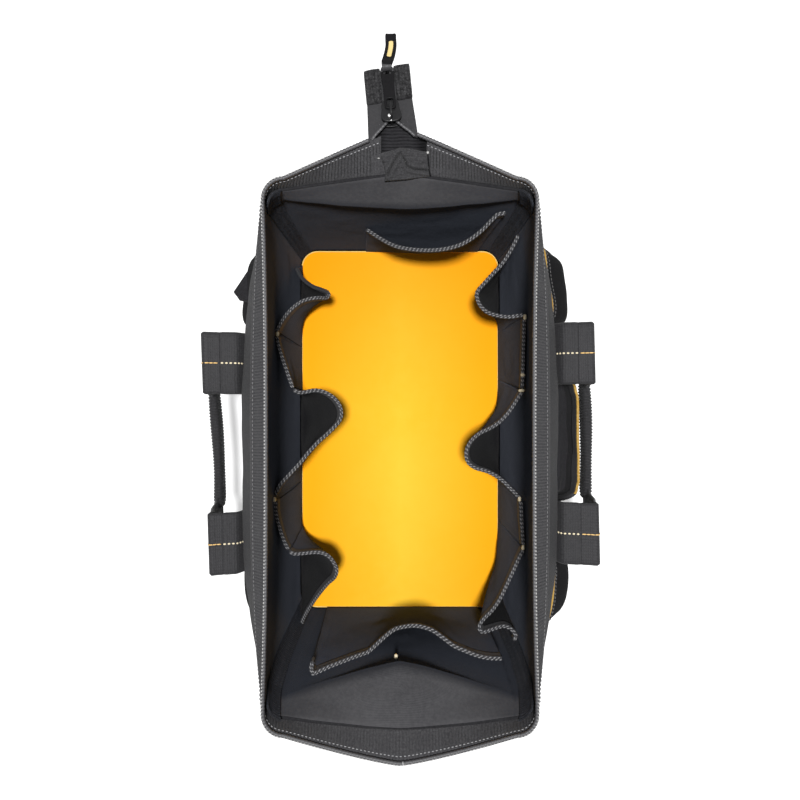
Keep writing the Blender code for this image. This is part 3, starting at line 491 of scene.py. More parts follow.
def rounded(wave, power):
    # A sine or cosine squared off towards its ends
    return np.sign(wave) * np.abs(wave) ** power


def tubePlaces(along, around):
    # Where a tube's points lie in the weave of its cloth
    return np.stack(np.meshgrid(along, around, indexing="ij"), axis=-1).reshape(-1, 2)


def sweep(path, radius, up, wide, sides):
    # Rings of a tube round a path. radius may change along it
    tangent = unit(np.gradient(path, axis=0))
    up = np.broadcast_to(np.asarray(up, float), path.shape)
    across = unit(np.cross(tangent, up))
    above = unit(np.cross(across, tangent))
    angle = np.linspace(0, 2 * pi, sides, endpoint=False)
    size = np.broadcast_to(np.asarray(radius, float), len(path))[:, None, None]
    return path[:, None] + size * (wide * np.cos(angle)[None, :, None] * across[:, None]
                                   + np.sin(angle)[None, :, None] * above[:, None])


def tubePiece(name, path, radius, material, body, up=(0, 0, 1), wide=1.0, sides=10, stands=(), slot=None):
    path = np.asarray(path, float)
    rings = sweep(path, radius, up, wide, sides).reshape(-1, 3)
    turns = np.linspace(0, 2 * pi * float(np.mean(radius)), sides)
    return newPiece(name, rings, ringFaces(len(path), sides), tubePlaces(pathRuns(path), turns), [material],
                    body, None, stands, slot)


# One stitch lies along x, as rings of points between its two ends
stitchForm = {"rings": ((-0.86, 0.5), (-0.4, 0.92), (0.4, 0.92), (0.86, 0.5)), "sides": 6, "lift": 0.25,
              "probe": 1e-4}
stitchLooks = {
    "coil": {"pitch": 0.0026, "length": 0.0016, "width": 0.0011, "height": 0.0009},
    "tapeFoot": {"pitch": 0.0032, "length": 0.0022, "width": 0.0007, "height": 0.0007},
    "tapeInner": {"pitch": 0.0030, "length": 0.0018, "width": 0.0008, "height": 0.0007},
    "hem": {"pitch": 0.0037, "length": 0.0026, "width": 0.0010, "height": 0.0009, "skew": 0.5},
    "outerPocket": {"pitch": 0.0034, "length": 0.0024, "width": 0.0007, "height": 0.0007},
    "strap": {"pitch": 0.0034, "length": 0.0022, "width": 0.0017, "height": 0.0010},
    "loop": {"pitch": 0.0034, "length": 0.0036, "width": 0.0011, "height": 0.0009},
}


def stitchMesh():
    sides, rings = stitchForm["sides"], stitchForm["rings"]
    shape = [(-1, 0, 0)] + [(x, r * cos(2 * pi * k / sides), r * sin(2 * pi * k / sides))
                            for x, r in rings for k in range(sides)] + [(1, 0, 0)]
    end = 1 + (len(rings) - 1) * sides
    faces = [(0, 1 + (k + 1) % sides, 1 + k) for k in range(sides)]
    faces += [tuple(1 + k for k in face) for face in ringFaces(len(rings), sides)[:-2]]
    faces += [(end + k, end + (k + 1) % sides, end + sides) for k in range(sides)]
    return np.array(shape), faces


def stitchPiece(name, lines, normals, kind, material, body):
    # Rows of stitches sunk a little into the cloth, each along a line with its normals
    look = stitchLooks[kind]
    shape, faces = stitchMesh()
    skew = look.get("skew", 0)
    verts, allFaces = [], []
    for line, facingWay in zip(lines, normals):
        line = np.asarray(line, float)
        facingWay = np.broadcast_to(np.asarray(facingWay, float), line.shape)
        runs = pathRuns(line)
        places = np.arange(look["pitch"] / 2, runs[-1], look["pitch"])
        probe = stitchForm["probe"]
        tangent = unit(valuesAt(places + probe, runs, line) - valuesAt(places - probe, runs, line))
        normal = unit(valuesAt(places, runs, facingWay))
        across = unit(np.cross(normal, tangent))
        for c, t, a, n in zip(valuesAt(places, runs, line), tangent, across, normal):
            t, a = t * cos(skew) + a * sin(skew), a * cos(skew) - t * sin(skew)
            allFaces += [tuple(len(verts) * len(shape) + k for k in face) for face in faces]
            verts.append(c + n * look["height"] * stitchForm["lift"] + shape[:, :1] * t * look["length"] / 2
                         + shape[:, 1:2] * a * look["width"] / 2 + shape[:, 2:] * n * look["height"] / 2)
    uv = np.tile(shape[:, :2] * look["length"], (len(verts), 1))
    return newPiece(name, np.concatenate(verts), allFaces, uv, [material], body)


# Walls of the bag, at seven heights
bagShape = {
    "heights": (0.0, 0.0603, 0.1498, 0.200, 0.208, 0.236, 0.254),
    "side": (0.114, 0.117, 0.124, 0.1275, 0.128, 0.114, 0.0940),
    "corner": (0.114, 0.114, 0.114, 0.1123, 0.1115, 0.1065, 0.0998),
    "radius": (0.022, 0.022, 0.020, 0.0185, 0.0185, 0.018, 0.0145),
    "tabCorner": (0.203, 0.203, 0.201, 0.199, 0.197, 0.1950, 0.1968),
    "tabMiddle": (0.203, 0.203, 0.198, 0.1955, 0.189, 0.206, 0.2434),
    "plainCorner": (0.203, 0.203, 0.206, 0.210, 0.210, 0.2120, 0.2167),
    "plainMiddle": (0.203, 0.203, 0.191, 0.186, 0.1805, 0.2195, 0.2418),
    "tabPower": (1.6, 1.6, 1.6, 1.6, 1.6, 1.15, 1.0),
    "plainPower": (2.0, 2.0, 1.6, 1.35, 1.25, 1.35, 1.18),
}
wallLook = {"middleY": -0.0065, "bowReach": 0.181, "bowPower": 3, "soften": 0.0015, "foot": 0.0033,
            "shoulder": 0.200, "lowRows": 30, "collar": 0.204, "highRows": 12, "seam": 0.2355, "rim": 0.2494,
            "thickness": 0.003}
# Folds and wrinkles fade at the base and the rim. The rays spread over the ends below the rim
slackLook = {"folds": 0.0016, "foldScale": (16, 16, 9), "wrinkles": 0.0005, "wrinkleScale": (55, 55, 40),
             "wrinkleShift": (7, 0, 0), "low": 0.01, "lowFade": 0.03, "high": 0.238, "highFade": 0.02,
             "rays": {"tab": 0.0006, "plain": 0.0016}, "rayHeight": 0.222, "rayReach": 0.014, "rayCount": 9,
             "rayLean": 160, "rayStart": 0.208, "rayShift": 1.2}
sections = {}


def sectionAt(z):
    z = round(float(z), 5)
    if z not in sections:
        spread = z + wallLook["soften"] * np.linspace(-1, 1, 5)
        sections[z] = {key: float(np.mean(np.interp(spread, bagShape["heights"], row)))
                       for key, row in bagShape.items() if key != "heights"}
    return sections[z]


def slack(x, y, z):
    # How far the cloth stands off its flat shape
    look = slackLook
    fade = min(1, max(0, z - look["low"]) / look["lowFade"])
    fade = fade * min(1, max(0, look["high"] - z) / look["highFade"])
    folds = ripple((x, y, z), look["foldScale"]) * look["folds"]
    wrinkles = ripple((x, y, z), look["wrinkleScale"], look["wrinkleShift"]) * look["wrinkles"]
    return (folds + wrinkles) * fade


def sideX(y, z):
    # Outer face of a long wall on the right; the left one mirrors it
    section = sectionAt(z)
    offset = min(1, abs(y - wallLook["middleY"]) / wallLook["bowReach"])
    flat = section["corner"] + (section["side"] - section["corner"]) * (1 - offset ** wallLook["bowPower"])
    return flat + slack(flat, y, z)


def endY(x, z, end):
    look = slackLook
    section = sectionAt(z)
    name = "tab" if end > 0 else "plain"
    offset = min(1, abs(x) / (section["corner"] - section["radius"]))
    corner, middle = section[name + "Corner"], section[name + "Middle"]
    flat = corner + (middle - corner) * (1 - offset ** section[name + "Power"])
    fade = max(0, 1 - abs(z - look["rayHeight"]) / look["rayReach"]) * (1 - offset ** 4)
    turn = offset * look["rayCount"] + (z - look["rayStart"]) * look["rayLean"]
    turn = turn + (look["rayShift"] if x > 0 else 0)
    return end * (flat + slack(x, end * flat, z) + sin(turn) * fade * look["rays"][name])


def cornerPoint(angle, z, end, inset=0.0):
    section = sectionAt(z)
    cornerY = section["tabCorner"] if end > 0 else section["plainCorner"]
    radius = section["radius"]
    x = section["corner"] - radius + (radius - inset) * sin(angle)
    y = end * (cornerY - radius + (radius - inset) * cos(angle))
    push = slack(x, y, z)
    return x + push * sin(angle), y + end * push * cos(angle)


def rightRun(z, steps=96, cornerSteps=7):
    # Plan points up the right long wall with both of its corners
    section = sectionAt(z)
    points = [cornerPoint(pi / 2 * k / cornerSteps, z, -1) for k in range(cornerSteps + 1)]
    low, high = section["radius"] - section["plainCorner"], section["tabCorner"] - section["radius"]
    for k in range(1, steps):
        y = low + (high - low) * k / steps
        points.append((sideX(y, z), y))
    points += [cornerPoint(pi / 2 * k / cornerSteps, z, 1) for k in range(cornerSteps, -1, -1)]
    return points


def endRun(z, end, startX, stopX, steps=48):
    return [(x, endY(x, z, end)) for x in np.linspace(startX, stopX, steps + 1)]


def wholeRun(z):
    # Plan points once round the bag, anticlockwise seen from above
    section = sectionAt(z)
    reach = section["corner"] - section["radius"]
    right = rightRun(z)
    left = [(-x, y) for x, y in reversed(right)]
    return right + endRun(z, 1, reach, -reach)[1:-1] + left + endRun(z, -1, -reach, reach)[1:-1]


def makeWalls():
    look = wallLook
    heights = np.concatenate([np.linspace(look["foot"], look["shoulder"], look["lowRows"]),
                              np.linspace(look["collar"], look["seam"], look["highRows"])])
    grid = np.array([[(x, y, z) for x, y in wholeRun(z)] for z in heights])
    clothPiece("bag_walls", grid, look["thickness"], ["body_cloth", "inner_cloth"], "bag", -1, True,
               ("side_wall_left", "side_wall_right", "end_wall_tab", "end_wall_plain"), "body_cloth")


makeWalls()
print("walls made")


# Floor of the bag
floorLook = {"halfX": 0.1088, "halfY": 0.1976, "corner": 0.017, "top": 0.0086, "thickness": 0.0018,
             "folds": 0.0026, "foldShare": 0.6, "foldBase": 0.35, "crumple": (34, 7, 3.1),
             "crumpleShare": 0.5, "swell": (14, 4, 9.4), "swellShift": (5, 0, 0), "turnUp": 0.0012,
             "turnFrom": 0.93, "turnReach": 0.07, "welt": 0.0007, "weltRise": 0.6, "weltStep": 0.002,
             "fill": 0.3, "columns": 61, "rows": 97}


def roundedReach(x, halfX, halfY, corner):
    inside = abs(x) - (halfX - corner)
    return halfY if inside <= 0 else halfY - corner + (max(0, corner * corner - inside * inside)) ** 0.5


def makeFloor():
    look = floorLook
    rows = []
    across = np.sin(np.linspace(-pi / 2, pi / 2, look["columns"]))
    for share in np.sin(np.linspace(-pi / 2, pi / 2, look["rows"])):
        row = []
        for place in across:
            x = place * look["halfX"]
            y = share * roundedReach(x, look["halfX"], look["halfY"], look["corner"])
            edge = max(abs(place), abs(share))
            fold = ripple((x, y, 1), look["crumple"]) * look["crumpleShare"]
            fold = fold + ripple((x, y, 1), look["swell"], look["swellShift"])
            lift = look["turnUp"] * max(0, (edge - look["turnFrom"]) / look["turnReach"]) ** 2
            wave = look["folds"] * (look["foldBase"] + fold) * (1 - edge ** 6) * look["foldShare"]
            row.append((x, y, look["top"] + wave + lift))
        rows.append(row)
    lining = clothPiece("yellow_lining", rows, look["thickness"], ["yellow_cloth"], "bag", -1,
                        stands=("bottom_lining",), slot="yellow_cloth")
    # pale tube round the lining's edge, coloured as a painted highlight
    border = rows[0] + [row[-1] for row in rows[1:]] + rows[-1][-2::-1] + [row[0] for row in rows[-2::-1]]
    border = np.array(border) + np.array([0, 0, look["welt"] * look["weltRise"]])
    tubePiece("lining_welt", evenly(border, look["weltStep"]), look["welt"], "welt_cloth", "bag", sides=8)


makeFloor()
for node, cloth in (("base_panel", "body_cloth"), ("base_board", "board_plastic")):
    part = frame["nodes"][node]
    part.data.materials.clear()
    part.data.materials.append(finish[cloth])
print("floor made")


# Rim: tape, coil and their stitching. What ends at the tab differs from side to side
rimLook = {"tapeThickness": 0.0013, "tapeStand": 0.0006, "tapeFoot": 0.0005, "tapeRows": 9, "ribPitch": 0.0025,
           "ribDepth": 0.0003, "slit": 0.0004, "slitMiddle": 0.0022, "fine": 0.0005, "coilRadius": 0.0016,
           "coilHeight": 0.2524, "coilPitch": 0.0026, "coilSwell": 0.12,
           "coilEnd": {1: 0.0128, -1: 0.0230}, "tapeEnd": {1: 0.0205, -1: 0.0143},
           "threadEnd": {1: 0.0360, -1: 0.0500}, "threadStep": 0.004, "threadOut": 0.0008, "threadRise": 0.72,
           "footRow": 2, "footStand": 0.0010, "innerRow": 7, "innerStand": 0.0007}


def halfRim(z, side, ends):
    # Plan points of one half of the mouth, from the plain end to the tab, for the right side
    section = sectionAt(z)
    reach = section["corner"] - section["radius"]
    return (endRun(z, -1, rimLook["slit"] / 2 + side * rimLook["slitMiddle"], reach)[:-1] + rightRun(z)
            + endRun(z, 1, reach, rimLook[ends][side])[1:])


def facing(side, rows):
    # Rows written for the right side, turned to face outwards on either side
    rows = np.asarray(rows, float)
    return rows if side > 0 else rows[:, ::-1] * np.array([-1, 1, 1])


def rimRows(side, heights, step, ends="tapeEnd"):
    rows = [evenly([(x, y, z) for x, y in halfRim(z, side, ends)], rimLook["fine"]) for z in heights]
    shares = np.linspace(0, 1, int(pathRuns(rows[-1])[-1] / step))
    return np.array([valuesAt(shares, np.linspace(0, 1, len(path)), path) for path in rows])


def makeRim(side, sideName):
    look = rimLook
    flip = np.array([side, 1, 1])
    heights = np.linspace(wallLook["seam"] - look["tapeFoot"], wallLook["rim"], look["tapeRows"])
    grid = rimRows(side, heights, look["ribPitch"] / 4)
    normals = gridNormals(grid)
    ribs = look["ribDepth"] * np.cos(2 * pi * pathRuns(grid[-1]) / look["ribPitch"])
    level = np.sin(np.linspace(0, pi, len(heights))) ** 0.5
    grid = grid + normals * (ribs[None, :] * level[:, None])[..., None]
    clothPiece("rim_tape_" + sideName, facing(side, grid + normals * look["tapeStand"]), look["tapeThickness"],
               ["zip_tape_cloth"], "bag", -1, stands=("zip_tape_" + sideName,), slot="zip_tape_cloth")
    # coil, swelling at each turn
    top = rimRows(side, [wallLook["rim"]], look["coilPitch"] / 4, "coilEnd")[0]
    top[:, 2] = look["coilHeight"]
    turns = np.cos(2 * pi * pathRuns(top) / look["coilPitch"])
    radius = look["coilRadius"] * (1 - look["coilSwell"] / 2 + look["coilSwell"] * turns)
    tubePiece("rim_coil_" + sideName, top * flip, radius, "coil_plastic", "bag",
              stands=("zip_coil_" + sideName,), slot="coil_plastic")
    # white dashes on the coil's outer shoulder, one per coil turn, are painted highlights; grey stitches along
    # the tape's foot, pale ones inside
    line = rimRows(side, [wallLook["rim"]], look["threadStep"], "threadEnd")[0]
    across = unit(np.cross(unit(np.gradient(line, axis=0)), np.array([0, 0, 1.0])))
    line = line + across * look["threadOut"]
    line[:, 2] = look["coilHeight"] + look["coilRadius"] * look["threadRise"]
    stitchPiece("rim_stitches_" + sideName, [line * flip], [(0, 0, 1)], "coil", "white_thread", "bag")
    rows = rimRows(side, heights, look["threadStep"])
    out = gridNormals(rows)
    for name, row, stand, kind, thread in (
            ("tape_stitches_", look["footRow"], look["footStand"], "tapeFoot", "grey_thread"),
            ("tape_inner_stitches_", look["innerRow"], -look["innerStand"], "tapeInner", "pale_thread")):
        stitchPiece(name + sideName, [(rows[row] + out[row] * stand) * flip],
                    [out[row] * np.sign(stand) * flip], kind, thread, "bag")


for side, sideName in bothSides:
    makeRim(side, sideName)
print("rim made")


# Corner bindings
bindingLook = {"width": 0.0145, "thickness": 0.0012, "clear": 0.0008, "ribPitch": 0.0026, "ribDepth": 0.00035,
               "low": 0.0115, "high": 0.243, "leastRadius": 0.004, "mostTurn": 50, "columns": 7}


def makeBinding(side, end, name):
    look = bindingLook
    rows = []
    for k, z in enumerate(np.arange(look["low"], look["high"], look["ribPitch"] / 4)):
        inset = wallLook["thickness"] + look["clear"] + look["ribDepth"] * cos(pi * k / 2)
        radius = max(look["leastRadius"], sectionAt(z)["radius"] - inset)
        half = min(radians(look["mostTurn"]), look["width"] / 2 / radius)
        run = [cornerPoint(pi / 4 + half * t, z, end, inset) for t in np.linspace(-1, 1, look["columns"])]
        rows.append([(x, y, z) for x, y in (run[::-1] if end > 0 else run)])
    clothPiece(name, facing(side, rows), look["thickness"], ["grosgrain"], "bag", -1,
               stands=("corner_" + name,), slot="grosgrain")


for side, sideName in bothSides:
    for end, endName in ((1, "tab"), (-1, "plain")):
        makeBinding(side, end, "binding_" + sideName + "_" + endName)
print("bindings made")


# Inner pockets. Each hem is a row of places seen in the photograph, from the tab end to the plain
# end (left to right on the end walls), with the hem's height at its start, middle and end
pocketLook = {"floor": 0.0112, "thickness": 0.0015, "foot": 0.0021, "risePower": 0.75, "spreadPower": 0.9,
              "clear": 0.0018, "sway": 0.0012, "swayScale": (55, 3.1, 4), "step": 0.0010, "past": 0.0012,
              "fewest": 13, "rows": 24, "leastReach": 0.02, "hemWidth": 0.0080, "hemThickness": 0.0026,
              "hemRows": 7, "hemRoll": 0.5, "ropeRadius": 0.0017, "ropeDent": 0.10, "ropeRise": 0.0002,
              "ropeWide": 1.15, "threadUp": 0.86, "threadOut": 0.45, "threadLean": 0.4}
pocketHems = {
    "left_5": {"heights": (0.052, 0.108, 0.120), "hem": (
        (297, 269), (303, 279), (312, 286), (321, 289.5), (327, 292), (328.5, 295), (326, 298), (317, 298),
        (306, 300), (298, 304), (290, 311), (283, 320), (277, 331))},
    "left_4": {"heights": (0.120, 0.120, 0.120), "hem": (
        (277, 336), (279, 346), (283, 359), (288, 374), (292.5, 387))},
    "left_3": {"heights": (0.120, 0.124, 0.122), "hem": (
        (294, 390), (299, 392.5), (306, 392), (315, 390.5), (325, 392.5), (334, 398.5), (339.5, 406),
        (341, 414), (339, 421), (334, 427), (327, 434), (318, 442), (308, 453), (300, 463), (290, 474),
        (281, 484), (275, 495))},
    "left_2": {"heights": (0.122, 0.120, 0.118), "hem": (
        (274.5, 501), (277, 516), (281, 531), (285, 542), (288.5, 549))},
    "left_1": {"heights": (0.118, 0.112, 0.066), "hem": (
        (290, 551.5), (295, 553.5), (304, 553), (315, 552), (323, 553), (329.5, 557), (334.5, 564),
        (336.5, 570), (334.5, 577), (328, 583), (321, 591), (315, 599), (309, 608), (304.5, 616), (302, 622))},
    "right_5": {"heights": (0.140, 0.122, 0.134), "hem": (
        (518, 236), (511, 250), (502, 264), (492, 275), (483, 285), (478, 291), (477, 297), (480, 305),
        (487, 312), (497, 315.5), (508, 317), (517, 316), (524, 315))},
    "right_4": {"heights": (0.130, 0.128, 0.126), "hem": (
        (524, 319), (523.5, 337), (523, 355), (522.5, 373), (522, 388))},
    "right_3": {"heights": (0.126, 0.124, 0.122), "hem": (
        (521.5, 392), (517, 399), (512, 407), (506, 415), (498, 423), (489, 428.5), (480, 433), (472, 440),
        (467.5, 448), (466.5, 456), (469, 463), (476, 468), (485, 470.5), (494, 474.5), (502, 480), (509, 487),
        (515, 493), (519.5, 498))},
    "right_2": {"heights": (0.122, 0.124, 0.126), "hem": (
        (520.5, 501), (521, 516), (522, 531), (523, 545))},
    "right_1": {"heights": (0.126, 0.124, 0.138), "hem": (
        (523, 549), (519, 557), (514.5, 567), (510, 577), (505, 588), (499, 600), (492, 610), (485, 617),
        (480.5, 623), (479.5, 628), (483, 631.5), (490, 629.5), (499, 626.5), (506, 626), (512, 629.5),
        (515.5, 635), (514, 640))},
    "tab_end": {"heights": (0.112, 0.140, 0.166), "hem": (
        (367, 230), (376, 236), (388, 243), (400, 247.5), (418, 250), (436, 250), (452, 247.5), (466, 242),
        (480, 232), (491, 221), (499, 213), (505, 208))},
    "plain_end": {"heights": (0.190, 0.150, 0.172), "hem": (
        (312.5, 662), (311.5, 668), (315, 674), (324, 674.5), (335, 670), (346, 664.5), (358, 658.5),
        (370, 650), (383, 638), (394, 629.5), (404, 626.5), (414, 625.5), (424, 627), (433, 630.5),
        (443, 637.5), (453, 645), (464, 650), (477, 655), (489, 657.5), (501, 658))},
}
# Bartacks: place in the photograph, height, length, and whether it lies along the bag
bartackPlaces = {
    "tack_plain_end": ((396, 656.5), 0.187, 0.0042, True),
    "tack_left_tab": ((277.5, 334), 0.1225, 0.0046, True),
    "tack_left_plain": ((274.5, 499.5), 0.1245, 0.0044, True),
    "tack_right_tab": ((525, 317), 0.1365, 0.0052, True),
    "tack_right_flat": ((522.8, 375), 0.1285, 0.0040, False),
    "tack_right_bar": ((521.5, 390.5), 0.1285, 0.0056, False),
    "tack_right_middle": ((519.5, 499), 0.1245, 0.0046, True),
    "tack_right_low": ((523, 547.5), 0.1285, 0.0044, True),
}
bartackRadii = (0.0008, 0.0013, 0.0016, 0.0015, 0.0017, 0.0015, 0.0016, 0.0013, 0.0008)


def seenAt(pixel, z):
    # The place at a height that shows at a pixel of the photograph
    look = cameraLook
    scale = (look["height"] - z) * look["sensor"] / (look["pixels"] * look["lens"])
    middle = look["pixels"] / 2
    return np.array([(pixel[0] - middle) * scale, look["middleY"] + (middle - pixel[1]) * scale, z])


def wallInner(kind, along, z):
    # Distance from the middle of the bag to the inner face of a wall
    if kind in ("right", "left"):
        return sideX(along, z) - wallLook["thickness"]
    return abs(endY(along, z, 1 if kind == "tab" else -1)) - wallLook["thickness"]


def pocketSurface(kind, hem, low, high, levels):
    # Rows from the sewn foot up to the hem. Works in (along the wall, distance out, height)
    look = pocketLook
    acrossIs = 1 if kind in ("right", "left") else 0
    outIs = 1 - acrossIs
    sign = 1 if kind in ("right", "tab") else -1
    rows = []
    for level in levels:
        row = []
        for k, point in enumerate(hem):
            share = k / (len(hem) - 1)
            along = low + (high - low) * share
            place = along + (point[acrossIs] - along) * level ** look["spreadPower"]
            z = look["floor"] + (point[2] - look["floor"]) * level
            hemOut = wallInner(kind, point[acrossIs], point[2]) - sign * point[outIs]
            rise = level ** look["risePower"]
            sway = look["sway"] * ripple((along, level, share), look["swayScale"]) * level * (1 - level) * 4
            stand = max(look["clear"], look["foot"] + (hemOut - look["foot"]) * rise + sway)
            out = sign * (wallInner(kind, place, z) - stand)
            row.append((out, place, z) if acrossIs else (place, out, z))
        rows.append(row)
    return np.array(rows)


def makePocket(key):
    look = pocketLook
    part = pocketHems[key]
    kind = key.split("_")[0]
    node = "inner_pocket_" + key
    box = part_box(node)
    pixels = curveThrough([(*pixel, 0) for pixel in part["hem"]], 1.0)
    heights = np.interp(np.linspace(0, 1, len(pixels)), (0, 0.5, 1), part["heights"])
    hem = evenly(np.array([seenAt(pixel, z) for pixel, z in zip(pixels, heights)]), look["step"])
    axis = 1 if kind in ("right", "left") else 0
    low, high = box[0][axis] - look["past"], box[1][axis] + look["past"]
    if hem[0][axis] > hem[-1][axis]:
        low, high = high, low
    count = max(look["fewest"], len(hem) // 3)
    coarse = atLength(hem, np.linspace(0, look["step"] * (len(hem) - 1), count))
    grid = pocketSurface(kind, coarse, low, high, np.linspace(0, 1, look["rows"]))
    # the inside face of each pouch is darker, painted shade inside the pocket
    faces = ["inner_pocket_cloth", "pocket_lining"]
    if kind in ("left", "plain"):
        faces.reverse()
    clothPiece("pouch_" + key, grid, look["thickness"], faces, "bag", stands=(node,), slot="pocket_cloth")
    # hem folded over, with a corded edge that the stitches pull in
    reach = max(look["leastReach"], hem[:, 2].mean() - look["floor"])
    band = pocketSurface(kind, hem, low, high, np.linspace(1 - look["hemWidth"] / reach, 1, look["hemRows"]))
    clothPiece("hem_" + key, band, look["hemThickness"], ["hem_cloth"], "bag", roll=look["hemRoll"])
    up = unit(band[-1] - band[-3])
    across = gridNormals(band)[-1]
    runs = np.arange(len(hem)) * look["step"]
    turns = np.cos(2 * pi * runs / stitchLooks["hem"]["pitch"])
    radius = look["ropeRadius"]
    rope = band[-1] + up * look["ropeRise"]
    tubePiece("rope_" + key, rope, radius * (1 + look["ropeDent"] * turns), "rope_cloth", "bag", up=up,
              wide=look["ropeWide"])
    for index, way in enumerate((1, -1)):
        line = rope + up * radius * look["threadUp"] + across * radius * way * look["threadOut"]
        name = "hem_stitches_" + key + "_" + str(index + 1)
        stitchPiece(name, [line], [up + across * way * look["threadLean"]], "hem", "pale_thread", "bag")


for key in pocketHems:
    makePocket(key)
for name, (pixel, z, length, along) in bartackPlaces.items():
    way = np.array([0, length, 0] if along else [length, 0, 0])
    tack = [seenAt(pixel, z) + way * t for t in np.linspace(-0.5, 0.5, len(bartackRadii))]
    tubePiece(name, tack, bartackRadii, "cream_thread", "bag", sides=8)
print("inner pockets made")


# Outer pockets. Heights and rises are shares of a pocket's height and depth
joint = {entry["name"]: entry for entry in frame["joints"]}
# Middle of each handle along the bag
handlePlace = {"right": -0.0024, "left": -0.0104}
outerLook = {"thickness": 0.0018, "gap": 0.0007, "spread": 0.0095, "follow": 0.7, "hem": 0.013,
             "hemMore": 0.0010, "hemLift": 0.0002, "threadRows": (1, 7), "threadLift": 0.0006,
             "wrinkles": 0.0018, "wrinkleScale": (38, 30, 300), "soften": 0.05, "planPower": 0.6,
             "columns": 45, "rows": 40, "hemRows": 9,
             "depth": {"right_tab": 0.046, "right_middle": 0.0345, "right_plain": 0.046,
                       "left_tab": 0.034, "left_middle": 0.012, "left_plain": 0.033},
             "pleat": 0.0035, "pleatPlace": 0.11, "pleatReach": 0.035,
             "pipingRadius": 0.0012, "pipingStep": 0.0012, "pipingSwell": 0.05, "pipingPitch": 0.0048,
             "middleShares": (0.06, 0.94, 60)}
outerForms = {
    "bellows": {"heights": (0, 0.12, 0.3, 0.55, 0.72, 0.88, 0.95, 1),
                "rise": (0.2, 0.5, 0.84, 1.0, 0.90, 0.52, 0.33, 0.29), "power": 5, "pleatShare": 1,
                # the bellows pockets are coloured near black as painted shade
                "cloth": "pocket_black", "hemCloth": "pocket_black"},
    "middle": {"heights": (0, 0.2, 0.5, 1), "rise": (0.45, 0.74, 0.95, 1.0), "power": 14, "pleatShare": 0.3,
               "cloth": "pocket_cloth", "hemCloth": "hem_cloth"},
}
# The lining of the right middle pocket lies in folds between the wall and the mouth
liningLook = {"start": 0.04, "end": 0.96, "rows": 70, "columns": 22, "backLevel": 0.97, "frontLevel": 0.9,
              "backGap": 0.001, "frontGap": 0.0008, "drop": 0.006, "fall": 0.022, "wrinkles": 0.0010,
              "wrinkleScale": (60, 2, 4.0), "folds": 0.0035, "foldScale": (22, 5, 1.0)}
# The corner of the left pocket's flap stands out past the wall
flapCornerLook = {"corners": ((247.5, 272.0), (234.6, 292.0), (248.0, 301.5), (240.4, 300.0)),
                  "heights": (0.158, 0.154, 0.156, 0.151), "bulge": 0.0012, "thickness": 0.0022, "points": 14}


def outerPoint(box, depth, kind, share, level, lift=0.0):
    look, form = outerLook, outerForms[kind]
    y = box[0].y + (box[1].y - box[0].y) * share
    z = box[0].z + (box[1].z - box[0].z) * level
    spread = np.clip(level + look["soften"] * np.linspace(-1, 1, 5), 0, 1)
    rise = float(np.mean(np.interp(spread, form["heights"], form["rise"])))
    plan = (1 - abs(2 * share - 1) ** form["power"]) ** look["planPower"]
    edge = min(share, 1 - share)
    pleat = look["pleat"] * np.exp(-((edge - look["pleatPlace"]) / look["pleatReach"]) ** 2)
    pleat = pleat * rise * form["pleatShare"]
    wave = look["wrinkles"] * ripple((y, z, depth), look["wrinkleScale"]) * plan
    return (sideX(y, z) + look["gap"] + lift + depth * rise * plan - pleat * plan + wave, y, z)


def makePocketLining(box, depth):
    look = liningLook
    rows = []
    for share in np.linspace(look["start"], look["end"], look["rows"]):
        y = box[0].y + (box[1].y - box[0].y) * share
        back = sideX(y, box[1].z * look["backLevel"]) + look["backGap"]
        front = outerPoint(box, depth, "middle", share, look["frontLevel"])[0] - look["frontGap"]
        row = []
        for t in np.linspace(0, 1, look["columns"]):
            wrinkles = look["wrinkles"] * ripple((y, t, 1), look["wrinkleScale"])
            folds = look["folds"] * ripple((y, t, 1), look["foldScale"])
            row.append((back + (front - back) * t + wrinkles, y,
                        box[1].z - look["drop"] - look["fall"] * t + folds))
        rows.append(row)
    clothPiece("pocket_lining_right_middle", rows[::-1], outerLook["thickness"], ["pocket_cloth"], "bag")


